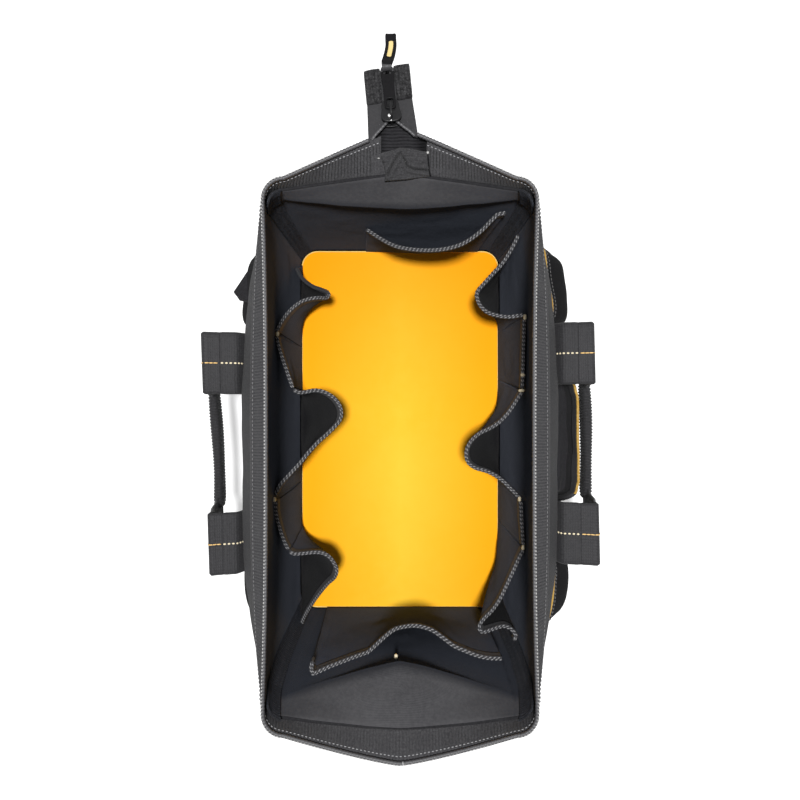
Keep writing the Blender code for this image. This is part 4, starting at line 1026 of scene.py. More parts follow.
def makeOuterPocket(side, sideName, place):
    look = outerLook
    label = sideName + "_" + place
    box = [corner.copy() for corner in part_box("outer_pocket_" + label)]
    kind = "middle" if place == "middle" else "bellows"
    form = outerForms[kind]
    # the pockets keep clear of the straps, which lie a little along from the joint
    shift = handlePlace[sideName] - joint["handle_" + sideName + "_raise"]["pos_m"][1]
    if kind == "middle":
        box[0].y, box[1].y = box[0].y + shift - look["spread"], box[1].y + shift + look["spread"]
    elif place == ("tab" if shift > 0 else "plain"):
        box[0 if shift > 0 else 1].y += shift * look["follow"]
    depth = look["depth"][label]
    half = look["thickness"] / 2
    shares = 0.5 - 0.5 * np.cos(np.linspace(0, pi, look["columns"]))

    def rowsOf(levels, lift):
        return facing(side, [[outerPoint(box, depth, kind, s, level, lift) for s in shares]
                             for level in levels])

    clothPiece("pouch_outer_" + label, rowsOf(np.linspace(0, 1, look["rows"]), half), look["thickness"],
               [form["cloth"]], "bag", stands=("outer_pocket_" + label,), slot="pocket_cloth")
    if label == "right_middle":
        makePocketLining(box, depth)
    start = 1 - look["hem"] / (box[1].z - box[0].z)
    hem = rowsOf(np.linspace(start, 1, look["hemRows"]), half + look["hemLift"])
    clothPiece("hem_outer_" + label, hem, look["thickness"] + look["hemMore"], [form["hemCloth"]], "bag",
               roll=0.5)
    out = gridNormals(hem)
    lines = [hem[r] + out[r] * (half + look["threadLift"]) for r in look["threadRows"]]
    stitchPiece("stitches_outer_" + label, lines, [out[r] for r in look["threadRows"]], "outerPocket",
                "grey_thread", "bag")
    if kind == "middle":
        shares = np.linspace(*look["middleShares"])
    top = np.array([outerPoint(box, depth, kind, s, 1.0, half) for s in shares])
    top = evenly(top * np.array([side, 1, 1]), look["pipingStep"])
    top[:, 2] += look["pipingRadius"] + look["hemLift"]
    runs = np.arange(len(top)) * look["pipingStep"]
    turns = np.cos(2 * pi * runs / look["pipingPitch"])
    tubePiece("piping_" + label, top, look["pipingRadius"] * (1 + look["pipingSwell"] * turns), "yellow_piping",
              "bag", stands=("pocket_piping_" + label,), slot="yellow_piping")


def makeFlapCorner():
    look = flapCornerLook
    first, second, third, fourth = [seenAt(pixel, z) for pixel, z in zip(look["corners"], look["heights"])]
    shares = np.linspace(0, 1, look["points"])
    rows = [[first * (1 - a) * (1 - b) + second * (1 - a) * b + third * a * (1 - b) + fourth * a * b
             + np.array([0, 0, look["bulge"] * sin(pi * a) * sin(pi * b)]) for b in shares]
            for a in shares[::-1]]
    clothPiece("pocket_flap_corner", rows, look["thickness"], ["body_cloth"], "bag")


for side, sideName in bothSides:
    for place in ("tab", "middle", "plain"):
        makeOuterPocket(side, sideName, place)
makeFlapCorner()
print("outer pockets made")


# Handles. The webbing's line is seen from the end of the bag: up the tail from the hinge, over
# the ridge and down the loop
handleLook = {"thickness": 0.0030, "gap": 0.0006, "columns": 13, "rows": 90, "step": 0.001, "fine": 0.0005,
              "blendReach": 0.0045, "draw": {"right": -0.0006, "left": -0.0026},
              "twist": {"right": -0.0026, "left": 0.0038}, "drawReach": 0.030,
              "drop": 0.079, "fall": -82, "tailStart": (0.003, 0.010, 0.024), "tailOff": 0.004,
              "ridgeLine": ((-0.0042, -0.0003), (-0.0026, -0.0016), (-0.0018, -0.0055), (-0.0014, -0.0130)),
              "below": 0.034, "belowIn": -0.0008, "lineEnd": 0.094, "halfCut": 0.003, "hingeClear": 0.009,
              "outerBend": 0.038, "innerBend": 0.008, "reach": 0.0962, "innerReach": 0.0488, "trim": 0.0013,
              "wallRows": 24, "straightRows": 34, "bendRows": 16, "acrossRows": 12, "threadRows": 14,
              "loopWay": (0.139, 0, -0.99)}
gripLook = {"width": 0.026, "length": 0.108, "height": 0.030, "thickness": 0.0090, "rib": 0.0028,
            "ribDepth": 0.0005, "sides": 40, "square": 0.55, "endReach": 0.014, "endShrink": 0.22,
            "sag": 0.0012, "sagWaves": 34, "swell": 0.0004, "swellWaves": 70, "probe": 0.002,
            "clothAround": 0.013, "fill": 0.8}


def joinPieces(first, *others):
    with bpy.context.temp_override(active_object=first, object=first,
                                   selected_editable_objects=[first, *others],
                                   selected_objects=[first, *others]):
        bpy.ops.object.join()
    return first


def handleJoints(sideName):
    return [joint["handle_" + sideName + part]["pos_m"] for part in ("_raise", "_bend")]


def tailWay(side, sideName):
    hinge, ridge = handleJoints(sideName)
    return unit(np.array([abs(ridge[0]) - abs(hinge[0]), 0, ridge[2] - hinge[2]])) * np.array([side, 1, 1])


def handleProfile(sideName):
    # The webbing's middle line on the right side, the run to its ridge and the tail's length
    look = handleLook
    start, top = [np.array([abs(place[0]), place[2]]) for place in handleJoints(sideName)]
    out = unit(top - start)
    near, far, further = look["tailStart"]
    down = np.array([cos(radians(look["fall"])), sin(radians(look["fall"]))])
    points = [start + out * near, start + out * far, (start + top) / 2, start + out * further]
    points += [top + place for place in look["ridgeLine"]]
    points += [top + down * look["below"] + (look["belowIn"], 0), top + down * look["drop"],
               top + down * look["lineEnd"]]
    line = curveThrough([(x, 0, z) for x, z in points], look["step"])
    nearest = np.argmin(np.linalg.norm(line - np.array([top[0], 0, top[1]]), axis=1))
    return line, pathRuns(line)[nearest], np.linalg.norm(top - start)


def handleDraw(sideName, run, y):
    # How far out the webbing stands from its plain line: one end of a handle lies further out
    look = handleLook
    share = np.clip(np.asarray(run) / look["drawReach"], 0, 1)
    turn = look["twist"][sideName] * (np.asarray(y) - handlePlace[sideName]) / look["reach"]
    return share * (look["draw"][sideName] + turn)


def makeStrap(side, sideName, place, line, half):
    # A strap up the wall and the first half of its tail, which turns outwards at the hinge
    look = handleLook
    hinge, ridge = handleJoints(sideName)
    flip = np.array([side, 1, 1])
    shift = handlePlace[sideName] - hinge[1]
    node = "wall_strap_" + sideName + "_" + place
    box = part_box(node)
    columns = []
    for y in np.linspace(box[0].y + shift + look["trim"], box[1].y + shift - look["trim"], look["columns"]):
        wall = [(sideX(y, z) + look["gap"] + look["thickness"] / 2, y, z)
                for z in np.linspace(box[0].z, hinge[2] - look["hingeClear"], look["wallRows"])]
        runs = [0, look["tailOff"], half]
        out = [(point[0] + handleDraw(sideName, run, y), y, point[2])
               for run, point in zip(runs, atLength(line, runs))]
        columns.append(evenly(curveThrough(wall + out, look["step"]), look["fine"]))
    grid = np.stack([atLength(column, np.linspace(0, look["fine"] * (len(column) - 1), look["rows"]))
                     for column in columns], axis=1)
    strap = clothPiece("strap_" + sideName + "_" + place, facing(side, grid), look["thickness"], ["webbing"],
                       None)
    middle = grid[-look["threadRows"]:, look["columns"] // 2] * flip
    under = gridNormals(facing(side, grid))[-look["threadRows"]:, look["columns"] // 2]
    line = middle - under * look["thickness"] * 0.5
    threads = stitchPiece("threads_" + sideName + "_" + place, [line], [-under], "strap", "cream_thread", None)
    joinPieces(strap, threads)
    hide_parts(node, "handle_tail_" + sideName + "_" + place)
    start = np.array(hinge) - np.array([0, 0, look["blendReach"]])
    end = np.array(hinge) + tailWay(side, sideName) * look["blendReach"]
    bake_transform(strap)


def loopEdge(start, low, reach, bend):
    # One edge of the flat loop as (run down from the ridge, place along the bag), round both corners
    look = handleLook
    turn = np.linspace(0, pi / 2, look["bendRows"])[1:]
    edge = [(x, reach) for x in np.linspace(start, low - bend, look["straightRows"])]
    edge += [(low - bend + bend * sin(a), reach - bend + bend * cos(a)) for a in turn]
    edge += [(low, (reach - bend) * t) for t in np.linspace(1, 0, look["acrossRows"])[1:]]
    return np.array(edge + [(x, -y) for x, y in edge[-2::-1]])


def makeLoop(side, sideName, line, ridgeRun, half):
    # The loop, from the middle of one tail round to the middle of the other
    look = handleLook
    ridge = np.array(handleJoints(sideName)[1])
    middleY = handlePlace[sideName]
    start, wide = half - ridgeRun, gripLook["width"] / 2
    outer = loopEdge(start, look["drop"] + wide, look["reach"], look["outerBend"])
    inner = loopEdge(start, look["drop"] - wide, look["innerReach"], look["innerBend"])
    shares = np.linspace(0, 1, look["columns"])
    grid = []
    for (outX, outY), (inX, inY) in zip(outer, inner):
        downs = ridgeRun + inX + (outX - inX) * shares
        points = atLength(line, downs)
        points[:, 1] = middleY + inY + (outY - inY) * shares
        points[:, 0] += handleDraw(sideName, downs, points[:, 1])
        grid.append(points)
    grid = facing(side, grid)
    loop = clothPiece("loop_" + sideName, grid, look["thickness"], ["webbing"], None)
    normals = gridNormals(grid)
    middle = look["columns"] // 2
    topFace = np.sign(normals[8, middle][2]) or 1
    ways = [slice(1, look["straightRows"]), slice(-look["straightRows"], -1)]
    outs = [topFace * normals[way, middle] for way in ways]
    lines = [grid[way, middle] + out * look["thickness"] * 0.5 for way, out in zip(ways, outs)]
    threads = stitchPiece("loop_threads_" + sideName, lines, outs, "loop", "gold_thread", None)
    joinPieces(loop, threads)
    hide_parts("handle_webbing_" + sideName)
    start = ridge - tailWay(side, sideName) * look["blendReach"]
    tuple(start)
    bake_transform(loop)


def makeGrip(side, sideName, line, ridgeRun):
    look = gripLook
    middleY = handlePlace[sideName]
    run = ridgeRun + handleLook["drop"]
    centre, ahead = atLength(line, [run, run + look["probe"]])
    down = unit(ahead - centre)
    out = np.array([-down[2], 0, down[0]])
    places = np.arange(-look["length"] / 2, look["length"] / 2 + 1e-6, look["rib"] / 6)
    angle = np.linspace(0, 2 * pi, look["sides"], endpoint=False)
    rings = []
    for y in places:
        near = max(0, (abs(y) - look["length"] / 2 + look["endReach"]) / look["endReach"])
        shrink = 1 - look["endShrink"] * min(near, 1) ** 3
        rib = look["ribDepth"] * cos(2 * pi * y / look["rib"])
        wide = (look["height"] / 2 + rib) * shrink * rounded(np.cos(angle), look["square"])
        thick = (look["thickness"] / 2 + rib + look["swell"] * sin(y * look["swellWaves"])) * shrink
        thick = thick * rounded(np.sin(angle), look["square"])
        point = centre + np.array([handleDraw(sideName, 1, middleY + y), middleY + y, 0])
        point = point + out * (look["sag"] * sin(y * look["sagWaves"] + side))
        rings.append(point + wide[:, None] * down + thick[:, None] * out)
    rings = np.array(rings) * np.array([side, 1, 1])
    faces = ringFaces(len(places), look["sides"], True)
    if side < 0:
        faces = [face[::-1] for face in faces]
    uv = tubePlaces(places, angle * look["clothAround"])
    grip = newPiece("grip_" + sideName, rings.reshape(-1, 3), faces, uv, ["webbing"],
                    "handle_" + sideName + "_loop", None, ("handle_grip_" + sideName,), "webbing")


for side, sideName in bothSides:
    line, ridgeRun, tail = handleProfile(sideName)
    half = tail / 2 - handleLook["halfCut"]
    for place in ("tab", "plain"):
        makeStrap(side, sideName, place, line, half)
    makeLoop(side, sideName, line, ridgeRun, half)
    makeGrip(side, sideName, line, ridgeRun)
print("handles made")


# Zip tab. In its frame x runs across it, y out along it and z up, from its fold line
tabLook = {"half": 0.0168, "length": 0.0540, "capStart": 0.0279, "slot": 0.0013, "veeHalf": 0.0160,
           "veeEnd": 0.0118, "veePower": 0.85, "flare": 0.0016, "tapeThickness": 0.0014, "tapeTrim": 0.0003,
           "tapeShort": 0.002, "rows": 40, "columns": 14, "rootTuck": 0.0006, "wave": 0.0004,
           "waveScale": (90, 60, 2.0), "rootDrop": 0.0011, "fold": 0.0006, "foldPlace": 0.55, "foldReach": 0.12,
           "foldLength": 0.45, "foldShare": {1: 1, -1: 0.3}}
tabCoilLook = {"radius": 0.0012, "height": 0.0028, "clear": 0.0002, "step": 0.0004, "pitch": 0.0026,
               "least": 0.94, "swell": 0.10, "straight": 0.030, "endShort": 0.003}
capLook = {"channel": 0.0061, "slant": 0.085, "thickness": 0.0038, "trim": 0.0005, "roll": 0.32,
           "rows": 20, "columns": 12, "pillow": 0.0003, "ridge": 0.0005, "ridgeReach": 0.06,
           "grain": 0.0006, "grainScale": (210, 210, 3.0), "under": -0.0019, "underMore": 0.001,
           "underShort": 0.0004, "underThickness": 0.0014, "underRows": 10, "underColumns": 8}
tabRoot = np.array(joint["tab_fold"]["pos_m"])
tabX = unit(np.array(joint["tab_fold"]["axis"], float))
tabY = -unit(np.array(joint["slider_travel"]["axis"], float))
tabZ = np.cross(tabX, tabY)


def tabPlace(points, origin=tabRoot):
    points = np.asarray(points, float)
    return origin + points[..., :1] * tabX + points[..., 1:2] * tabY + points[..., 2:] * tabZ


def tabPiece(name, parts, body, node):
    # One piece from several parts, which stands for one node of the frame
    piece = joinPieces(*parts) if len(parts) > 1 else parts[0]
    piece.name = name
    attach(piece, body)
    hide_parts(node)


def mirroredOutline(look, low, high):
    # A smooth closed outline from its right half, with its places set from the low and the high end
    points = [(x, low + y, 0) for x, y in look["lowOutline"]]
    points += [(x, high - y, 0) for x, y in look["highOutline"]]
    half = [tuple(p[:2]) for p in curveThrough(points, look["outlineStep"])]
    return half + [(-x, y) for x, y in half[-2:0:-1]]


def platePart(name, outlines, thickness, bevel, height, origin, material):
    # Flat plate with rounded edges from a rim and its holes
    curve = bpy.data.curves.new(name, "CURVE")
    curve.dimensions = "2D"
    curve.fill_mode = "BOTH"
    curve.extrude = thickness / 2 - bevel
    curve.bevel_depth = bevel
    curve.bevel_resolution = 3
    curve.offset = -bevel
    for outline in outlines:
        spline = curve.splines.new("POLY")
        spline.points.add(len(outline) - 1)
        for point, (x, y) in zip(spline.points, outline):
            point.co = (x, y, 0, 1)
        spline.use_cyclic_u = True
    drawn = bpy.data.objects.new(name, curve)
    bpy.context.scene.collection.objects.link(drawn)
    flat = bpy.data.meshes.new_from_object(drawn.evaluated_get(bpy.context.evaluated_depsgraph_get()))
    points = np.array([vertex.co[:] for vertex in flat.vertices]) + np.array([0, 0, height])
    faces = [tuple(face.vertices) for face in flat.polygons]
    bpy.data.objects.remove(drawn)
    piece = newPiece(name, tabPlace(points, origin), faces, points[:, :2], [material], None)
    piece.data.set_sharp_from_angle(angle=radians(40))
    return piece


def roundedOutline(halfX, low, high, radius, steps=6):
    points = []
    for turn, (x, y) in enumerate(((halfX, high), (-halfX, high), (-halfX, low), (halfX, low))):
        cx, cy = x - radius * (1 if x > 0 else -1), y - radius * (1 if y == high else -1)
        for k in range(steps + 1):
            angle = pi / 2 * (turn + k / steps)
            points.append((cx + radius * cos(angle), cy + radius * sin(angle)))
    return points


def rootEdge(x):
    # Where the tab leaves the rim, at a place across the tab
    edge = endY(tabRoot[0] + x * tabX[0], wallLook["rim"], 1)
    return (edge - tabRoot[1] - x * tabX[1]) / tabX[0]


def tapeHalf(side):
    look = tabLook

    def point(share, across):
        along = share * (look["length"] - look["tapeShort"])
        opening = max(0, 1 - along / look["veeEnd"]) ** look["veePower"]
        inner = look["slot"] + (look["veeHalf"] - look["slot"]) * opening
        outer = look["half"] - look["tapeTrim"] + look["flare"] * max(0, 1 - along / look["capStart"])
        x = side * (inner + (outer - inner) * across)
        y = along + (rootEdge(x) - look["rootTuck"]) * (1 - share)
        z = look["wave"] * ripple((x, y, 1), look["waveScale"]) - look["rootDrop"] * (1 - share) ** 6
        fold = look["fold"] * np.exp(-((across - look["foldPlace"]) / look["foldReach"]) ** 2)
        return x, y, z + fold * max(0, 1 - share / look["foldLength"]) * look["foldShare"][side]

    rows = [row[::side] for row in gridOf(point, look["rows"], look["columns"])]
    return clothPiece("tab_tape_half", tabPlace(rows), look["tapeThickness"], ["tab_tape_cloth"], None)


def makeTabCoil(side, sideName):
    look = tabCoilLook
    near = tabLook["slot"] + look["radius"] + look["clear"]
    vee, end, top = tabLook["veeHalf"], tabLook["veeEnd"], look["height"]
    route = ((vee, -0.0016, 0.0010), (vee - 0.0036, 0.0022, 0.0018), (0.0072, end - 0.0052, top),
             (near, end + 0.0012, top), (near, look["straight"], top),
             (near, tabLook["length"] - look["endShort"], top))
    path = curveThrough([(side * x, y, z) for x, y, z in route], look["step"])
    runs = np.arange(len(path)) * look["step"]
    swell = look["radius"] * (look["least"] + look["swell"] * np.cos(2 * pi * runs / look["pitch"]))
    coil = tubePiece("tab_coil_turns_" + sideName, tabPlace(path), swell, "coil_plastic", None, up=tabZ)
    tabPiece(coil.name, [coil], "zip_tab", "tab_coil_" + sideName)


def capHalf(side):
    look = capLook

    def point(share, across):
        x = side * (look["channel"] + (tabLook["half"] - look["trim"] - look["channel"]) * across)
        y = tabLook["capStart"] + (tabLook["length"] - tabLook["capStart"]) * share + look["slant"] * x
        pillow = look["pillow"] * (1 - (2 * across - 1) ** 4) * (1 - (2 * share - 1) ** 6)
        ridge = look["ridge"] * np.exp(-(share / look["ridgeReach"]) ** 2)
        return x, y, pillow + ridge + look["grain"] * ripple((x, y, side), look["grainScale"])

    rows = [row[::side] for row in gridOf(point, look["rows"], look["columns"])]
    return clothPiece("tab_cap_pad", tabPlace(rows), look["thickness"], ["cap_cloth"], None, roll=look["roll"])


def makeCap():
    look = capLook
    across = np.linspace(-1, 1, look["underColumns"]) * (look["channel"] + look["underMore"])
    ends = (tabLook["capStart"], tabLook["length"] - look["underShort"])
    strip = [[(x, y + look["slant"] * x, look["under"]) for x in across]
             for y in np.linspace(*ends, look["underRows"])]
    parts = [capHalf(1), capHalf(-1),
             clothPiece("tab_cap_under", tabPlace(strip), look["underThickness"], ["cap_cloth"], None)]
    tabPiece("tab_cap_fold", parts, "zip_tab", "tab_cap")


# Slider, from its low end. The shield is half of its outline, and the arch stands on its top
sliderLook = {"start": 0.0084, "length": 0.0168, "plateLow": 0.0051, "plate": 0.0017, "bevel": 0.0006,
              "underPlate": 0.0014, "underBevel": 0.0004, "underMiddle": -0.0018, "outlineStep": 0.0006,
              "lowOutline": ((0.0, 0), (0.0040, 0.0004), (0.0066, 0.0020), (0.0076, 0.0044),
                             (0.0074, 0.0072), (0.0066, 0.0100)),
              "highOutline": ((0.0060, 0.0016), (0.0044, 0.0002), (0.0, 0)),
              "archHeight": 0.0038, "archHalf": (0.0052, 0.0050, 0.0034), "archSunk": 0.0006,
              "archShoulder": 0.0016, "archRound": 0.0004, "archStep": 0.0004, "archRadius": 0.0009,
              "archWide": 1.5, "postPlace": 0.0020, "postLow": -0.0020, "postRise": 0.0004,
              "postRadius": 0.0010, "flangeX": 0.0060, "flangeEnds": (0.0075, 0.0022), "flangeLevel": 0.66,
              "flangeRadius": 0.0017, "flangeWide": 0.4, "rivetFlat": 0.95, "rivetEnd": 0.02}


def makeSlider():
    look = sliderLook
    low, high = look["start"], look["start"] + look["length"]
    middle = (low + high) / 2
    outline = mirroredOutline(look, low, high)
    metal = "slider_metal"
    parts = [platePart("slider_top", [outline], look["plate"], look["bevel"],
                       look["plateLow"] + look["plate"] / 2, tabRoot, metal),
             platePart("slider_under", [outline], look["underPlate"], look["underBevel"], look["underMiddle"],
                       tabRoot, metal)]
    top = look["plateLow"] + look["plate"]
    rises = (-look["archSunk"], look["archShoulder"], look["archHeight"] - look["archRound"])
    arch = [(0, middle - along, top + rise) for along, rise in zip(look["archHalf"], rises)]
    arch += [(0, middle, top + look["archHeight"])]
    arch += [(0, middle + along, top + rise) for along, rise in zip(look["archHalf"][::-1], rises[::-1])]
    parts.append(tubePiece("slider_arch", tabPlace(curveThrough(arch, look["archStep"])), look["archRadius"],
                           metal, None, up=tabX, wide=look["archWide"]))
    post = [(0, low + look["postPlace"], z)
            for z in np.linspace(look["postLow"], look["plateLow"] + look["postRise"], 6)]
    parts.append(tubePiece("slider_post", tabPlace(post), look["postRadius"], metal, None, up=tabX))
    start, end = look["flangeEnds"]
    for side in (1, -1):
        wall = [(side * look["flangeX"], y, look["plateLow"] * look["flangeLevel"])
                for y in np.linspace(high - start, high - end, 8)]
        parts.append(tubePiece("slider_flange", tabPlace(wall), look["flangeRadius"], metal, None, up=tabZ,
                               wide=look["flangeWide"]))
    # three bright metal spots, painted highlights where the slider glints: place across and along, radius and
    # height over the plate
    glintSpots = ((-0.0014, middle - 0.0045, 0.0015, 0.0008), (-0.0004, low + 0.0006, 0.0005, 0.0001),
              (0.0006, high - 0.0035, 0.0005, 0.0003))
    turns = np.linspace(-1, 1, 9)
    for x, place, size, rise in glintSpots:
        glintSpot = tabPlace([(x, place + t * size, top + rise) for t in turns])
        swell = size * np.sqrt(np.maximum(look["rivetEnd"], 1 - turns ** 2)) * look["rivetFlat"]
        parts.append(tubePiece("slider_rivet", glintSpot, swell, "bare_metal", None, up=tabZ, sides=14))
    tabPiece("zip_slider_body", parts, "slider", "zip_slider")


# Pull link, a waisted plate with an eye and a slot for the strap
linkLook = {"length": 0.0340, "low": -0.00085, "thickness": 0.0018, "bevel": 0.0006, "outlineStep": 0.0007,
            "lowOutline": ((0.0, 0), (0.0026, 0.0002), (0.0040, 0.0016), (0.0043, 0.0060),
                           (0.0043, 0.0180), (0.0049, 0.0240)),
            "highOutline": ((0.0050, 0.0048), (0.0043, 0.0020), (0.0025, 0.0004), (0.0, 0)),
            "eye": (0.0023, 0.0010, 0.0070, 0.0012), "slotHalf": 0.0031, "slotLow": 0.0069, "slotHigh": 0.0018,
            "slotRadius": 0.0014, "rimX": 0.0041, "rimY": 0.0038, "rimBack": 0.0047, "rimTurn": 1.75,
            "rimRise": 0.0006, "rimRadius": 0.0009}


def makeLink():
    look = linkLook
    origin = np.array(joint["pull_link_swing"]["pos_m"])
    low, high = look["low"], look["length"] + look["low"]
    outline = mirroredOutline(look, low, high)
    slot = roundedOutline(look["slotHalf"], high - look["slotLow"], high - look["slotHigh"],
                          look["slotRadius"])
    plate = platePart("pull_plate", [outline, roundedOutline(*look["eye"]), slot], look["thickness"],
                      look["bevel"], 0, origin, "pull_rubber")
    # a grey rim round the outer end of the link: painted highlight on its curved edge
    edge = [(look["rimX"] * sin(a), high - look["rimBack"] + look["rimY"] * cos(a), look["rimRise"])
            for a in np.linspace(-look["rimTurn"], look["rimTurn"], 25)]
    rim = tubePiece("pull_plate_rim", tabPlace(edge, origin), look["rimRadius"], "pull_grey", None, up=tabZ)
    tabPiece("pull_link_plate", [plate, rim], "pull_link_body", "pull_link")


# Pull strap, folded round the link's outer bar, with a yellow bar set into it. The run is set by
# shares of its lean and length, with what is added to the lean and the height
pullLook = {"length": 0.0246, "lean": 0.0053, "thickness": 0.0022, "dish": 0.0003, "step": 0.0005,
            "fold": ((0, 0.0060, -0.0010), (0, 0.0022, -0.0023), (0, -0.0010, -0.0024), (0, -0.0027, 0),
                     (0, -0.0012, 0.0023), (0.0006, 0.0020, 0.0022), (0.0019, 0.0058, 0.0008)),
            "run": ((0.36, 0.0015, 0.42, 0.0002), (0.72, 0.0009, 0.64, 0.0003), (0.95, 0, 0.86, 0.0006),
                    (1, 0, 1, 0.0007)),
            "widthPlaces": (0, 0.0004, 0.0012, 0.019, 0.023, 0.027, 0.040),
            "halfWidths": (0.0037, 0.0040, 0.0041, 0.0043, 0.0043, 0.0036, 0.0029), "loopStart": 0.0262,
            "barStart": 0.0060, "barEnd": 0.0184, "barSunk": 0.0003, "barHalf": 0.0017, "barEndHalf": 0.0012,
            "barThickness": 0.0013, "sides": 28, "square": 0.4, "core": 0.66, "clothAcross": 0.004, "sharp": 50}


def ribbonParts(path, half, thickness, dish):
    # Flat strap along a path, with its middle dished on both faces
    look = pullLook
    tangent = unit(np.gradient(path, axis=0))
    side = unit(tabX - (tangent @ tabX)[:, None] * tangent)
    up = np.cross(side, tangent)
    angle = np.linspace(0, 2 * pi, look["sides"], endpoint=False)
    wide, tall = rounded(np.cos(angle), look["square"]), rounded(np.sin(angle), look["square"])
    tall = tall * thickness / 2 - np.sign(tall) * dish * (np.abs(wide) < look["core"])
    half = np.broadcast_to(np.asarray(half, float), len(path))[:, None, None]
    rings = path[:, None] + half * wide[None, :, None] * side[:, None] + tall[None, :, None] * up[:, None]
    uv = tubePlaces(pathRuns(path), wide * look["clothAcross"])
    return rings.reshape(-1, 3), ringFaces(len(path), look["sides"], True), uv


def makePull():
    look = pullLook
    origin = np.array(joint["pull_strap_swing"]["pos_m"])
    route = look["fold"] + tuple((look["lean"] * leanShare + off, look["length"] * share, z)
                                 for leanShare, off, share, z in look["run"])
    path = curveThrough(route, look["step"])
    runs = pathRuns(path)
    fromEnd = runs[-1] - runs
    half = np.interp(fromEnd, look["widthPlaces"], look["halfWidths"])
    verts, faces, uv = ribbonParts(tabPlace(path, origin), half, look["thickness"], look["dish"])
    # the part that folds round the bar is greyer: painted highlight on the curve of the fold
    shade = [int(fromEnd[min(k // look["sides"], len(path) - 1)] > look["loopStart"])
             for k in range(len(faces))]
    strap = newPiece("pull_strap_tongue", verts, faces, uv, ["pull_rubber", "pull_grey"], None, shade)
    strap.data.set_sharp_from_angle(angle=radians(look["sharp"]))
    tabPiece(strap.name, [strap], "pull_strap_body", "pull_strap")
    inset = path[(fromEnd > look["barStart"]) & (fromEnd < look["barEnd"])]
    inset = inset + np.array([0, 0, look["thickness"] / 2 - look["barSunk"]])
    size = np.full(len(inset), look["barHalf"])
    size[[0, -1]] = look["barEndHalf"]
    bar = newPiece("pull_yellow_bar", *ribbonParts(tabPlace(inset, origin), size, look["barThickness"], 0),
                   ["bar_plastic"], None)
    tabPiece(bar.name, [bar], "pull_strap_body", "pull_bar")


tabPiece("tab_tape_ends", [tapeHalf(1), tapeHalf(-1)], "zip_tab", "tab_tapes")
for side, sideName in bothSides:
    makeTabCoil(side, sideName)
makeCap()
makeSlider()
makeLink()
makePull()


# Gusset cloth under the tab, placed by its pixels in the photograph and its height
gussetLook = {"thickness": 0.0013, "bendReach": 0.0015, "rows": 84, "columns": 30,
              "ribStart": 121, "ribLength": 40, "ribPitch": 3.3, "ribDepth": 0.0007, "ribWander": 0.8,
              "wanderScale": (2.2, 0.2, 1.0), "sag": 0.0010,
              "topZ": 0.2450, "footZ": 0.2425, "frontLow": 0.0006, "frontHigh": 0.2432, "frontPast": 0.0080,
              "frontStand": 0.0004,
              "ribLeft": ((121, 383.0), (128, 378.0), (136, 370.5), (147, 371.5), (152, 379.0), (161, 384.0)),
              "ribRight": ((121, 396.0), (128, 408.5), (133, 415.0), (136, 420.0), (138.5, 426.0), (141, 428.5),
                           (161, 427.0))}
# The flap's edges, with the shares of its height at which the side edges' points lie. Two
# creases run over it, with a ridge beside them and a bulge between
flapLook = {"top": 0.2474, "foot": 0.2381,
            "leftEdge": ((381.5, 156), (384.5, 164), (386.2, 173), (385.0, 180.5)),
            "leftShares": (0, 0.35, 0.7, 1),
            "rightEdge": ((427.0, 152.5), (427.6, 158), (428.4, 170), (430.0, 176.0)),
            "rightShares": (0, 0.25, 0.75, 1), "rightHeights": (0.2474, 0.2460, 0.2413, 0.2391),
            "topEdge": ((0, 156), (0.18, 152.6), (0.40, 148.2), (0.62, 149.2), (1, 152.5)),
            "footEdge": ((0, 180.5), (0.45, 179), (1, 176)),
            "creases": (((399.7, 153.5), (394.0, 162.0), (388.3, 174.0)),
                        ((399.7, 153.5), (404.8, 160.0), (407.4, 166.7), (413.8, 169.4), (426, 170.6))),
            "creaseDepth": 0.0017, "creaseReach": 1.5, "ridge": 0.0011, "ridgeOff": 3.2, "ridgeReach": 1.6,
            "bulge": 0.0012, "bulgePlace": (418, 160.5), "bulgeReach": (7, 5), "folds": 0.0008,
            "foldScale": (0.16, 0.2, 4.0), "wrinkles": 0.0004, "wrinkleScale": (0.5, 0.6, 8.0),
            "hem": 0.0012, "hemShare": 0.06, "rows": 56, "columns": 64,
            "cordShift": (0.0004, 0, 0.0003), "cordRadius": 0.0006, "cordStep": 0.0008}
gussetTacks = {"tack_gusset_right": ((427.8, 152.6), 0.2484, 0.0020),
               "tack_gusset_left": ((378.7, 158.4), 0.2440, 0.0010)}
gussetTackRadii = (0.0005, 0.0008, 0.0010, 0.0010, 0.0010, 0.0008, 0.0005)


def lineDistance(point, line):
    best = 1e9
    for a, b in zip(line, line[1:]):
        a, b, p = np.array(a), np.array(b), np.array(point)
        t = np.clip((p - a) @ (b - a) / ((b - a) @ (b - a)), 0, 1)
        best = min(best, np.linalg.norm(p - a - t * (b - a)))
    return best


def ribbedPoint(share, across):
    look = gussetLook
    y = look["ribStart"] + look["ribLength"] * share
    left, right = [float(np.interp(y, *zip(*look[edge]))) for edge in ("ribLeft", "ribRight")]
    middle, half = (left + right) / 2, (right - left) / 2
    z = look["topZ"] + (look["footZ"] - look["topZ"]) * share
    z -= look["sag"] * (1 - across ** 2) * share
    wave = y + look["ribWander"] * ripple((across, y, 1), look["wanderScale"])
    z += look["ribDepth"] * sin(2 * pi * wave / look["ribPitch"]) * (1 - across ** 4)
    return seenAt((middle + half * across, y), z)


def makeRibbedCloth():
    look = gussetLook
    rows = gridOf(ribbedPoint, look["rows"], look["columns"], -1)
    ribbed = clothPiece("gusset_ribbed", rows[::-1], look["thickness"], ["gusset_cloth"], None)
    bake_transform(ribbed)


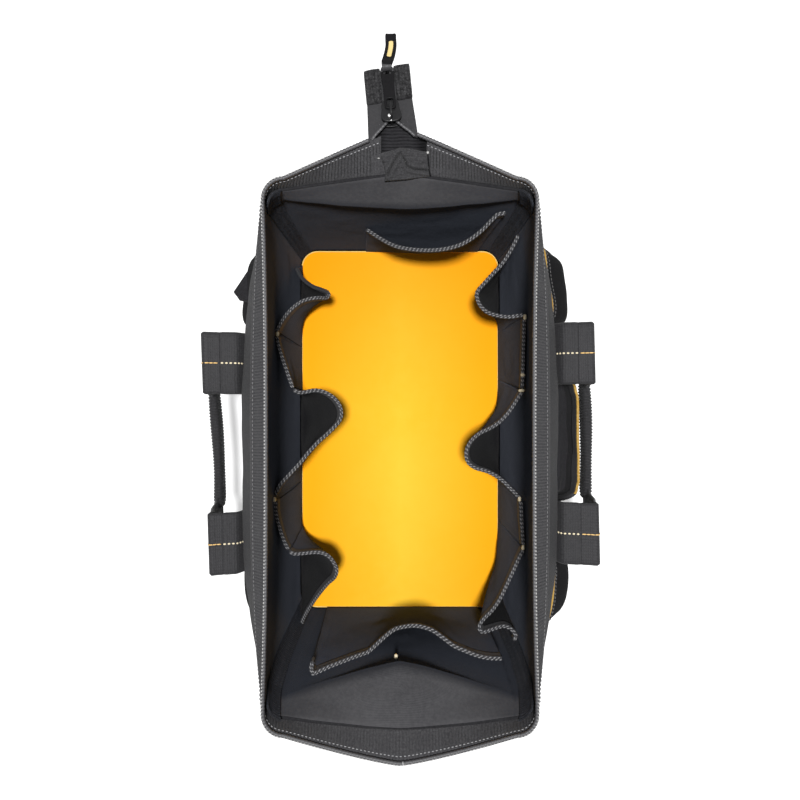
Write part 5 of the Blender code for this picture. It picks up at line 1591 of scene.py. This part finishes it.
def flapPoint(share, across):
    look = flapLook
    left, right = [np.array([np.interp(share, look[side + "Shares"], [p[k] for p in look[side + "Edge"]])
                             for k in (0, 1)]) for side in ("left", "right")]
    x = left[0] + (right[0] - left[0]) * across
    top, foot = [np.interp(across, *zip(*look[edge])) for edge in ("topEdge", "footEdge")]
    y = top + (foot - top) * share
    z = look["top"] + (look["foot"] - look["top"]) * share
    near = [lineDistance((x, y), line) for line in look["creases"]]
    z -= look["creaseDepth"] * max(np.exp(-(gap / look["creaseReach"]) ** 2) for gap in near)
    z += look["ridge"] * max(np.exp(-((gap - look["ridgeOff"]) / look["ridgeReach"]) ** 2) for gap in near)
    (bulgeX, bulgeY), (reachX, reachY) = look["bulgePlace"], look["bulgeReach"]
    z += look["bulge"] * np.exp(-((x - bulgeX) / reachX) ** 2 - ((y - bulgeY) / reachY) ** 2)
    folds = look["folds"] * ripple((x, y, 1), look["foldScale"])
    z += folds + look["wrinkles"] * ripple((x, y, 1), look["wrinkleScale"])
    z -= look["hem"] * max(0, 1 - share / look["hemShare"])
    return seenAt((x, y), z)


def makeGusset():
    look = gussetLook
    makeRibbedCloth()
    left, right = tabRoot[0] - tabLook["half"], tabRoot[0] + tabLook["half"] + look["frontPast"]
    heights = np.linspace(wallLook["seam"] - look["frontLow"], look["frontHigh"], 10)
    wall = [[(x, endY(x, z, 1) + look["frontStand"], z) for x in np.linspace(right, left, 40)] for z in heights]
    front = clothPiece("gusset_front", wall, look["thickness"], ["zip_tape_cloth"], None, -1)
    rows = gridOf(flapPoint, flapLook["rows"], flapLook["columns"])
    flap = clothPiece("gusset_flap", rows[::-1], look["thickness"], ["flap_cloth"], None)
    tabPiece("gusset_flap", [flap, front], "bag", "tab_gusset")
    # a dark line along the flap's right edge: painted shadow under the edge
    edge = np.array([seenAt(p, z) for p, z in zip(flapLook["rightEdge"], flapLook["rightHeights"])])
    tubePiece("gusset_edge", evenly(edge, flapLook["cordStep"]) + np.array(flapLook["cordShift"]),
              flapLook["cordRadius"], "pull_rubber", "bag", sides=8)
    for name, (pixel, z, length) in gussetTacks.items():
        tack = [seenAt(pixel, z) + np.array([0, length * t, 0]) for t in np.linspace(-0.5, 0.5, 7)]
        tubePiece(name, tack, gussetTackRadii, "white_thread", "bag", sides=8)


makeGusset()
print("tab made")
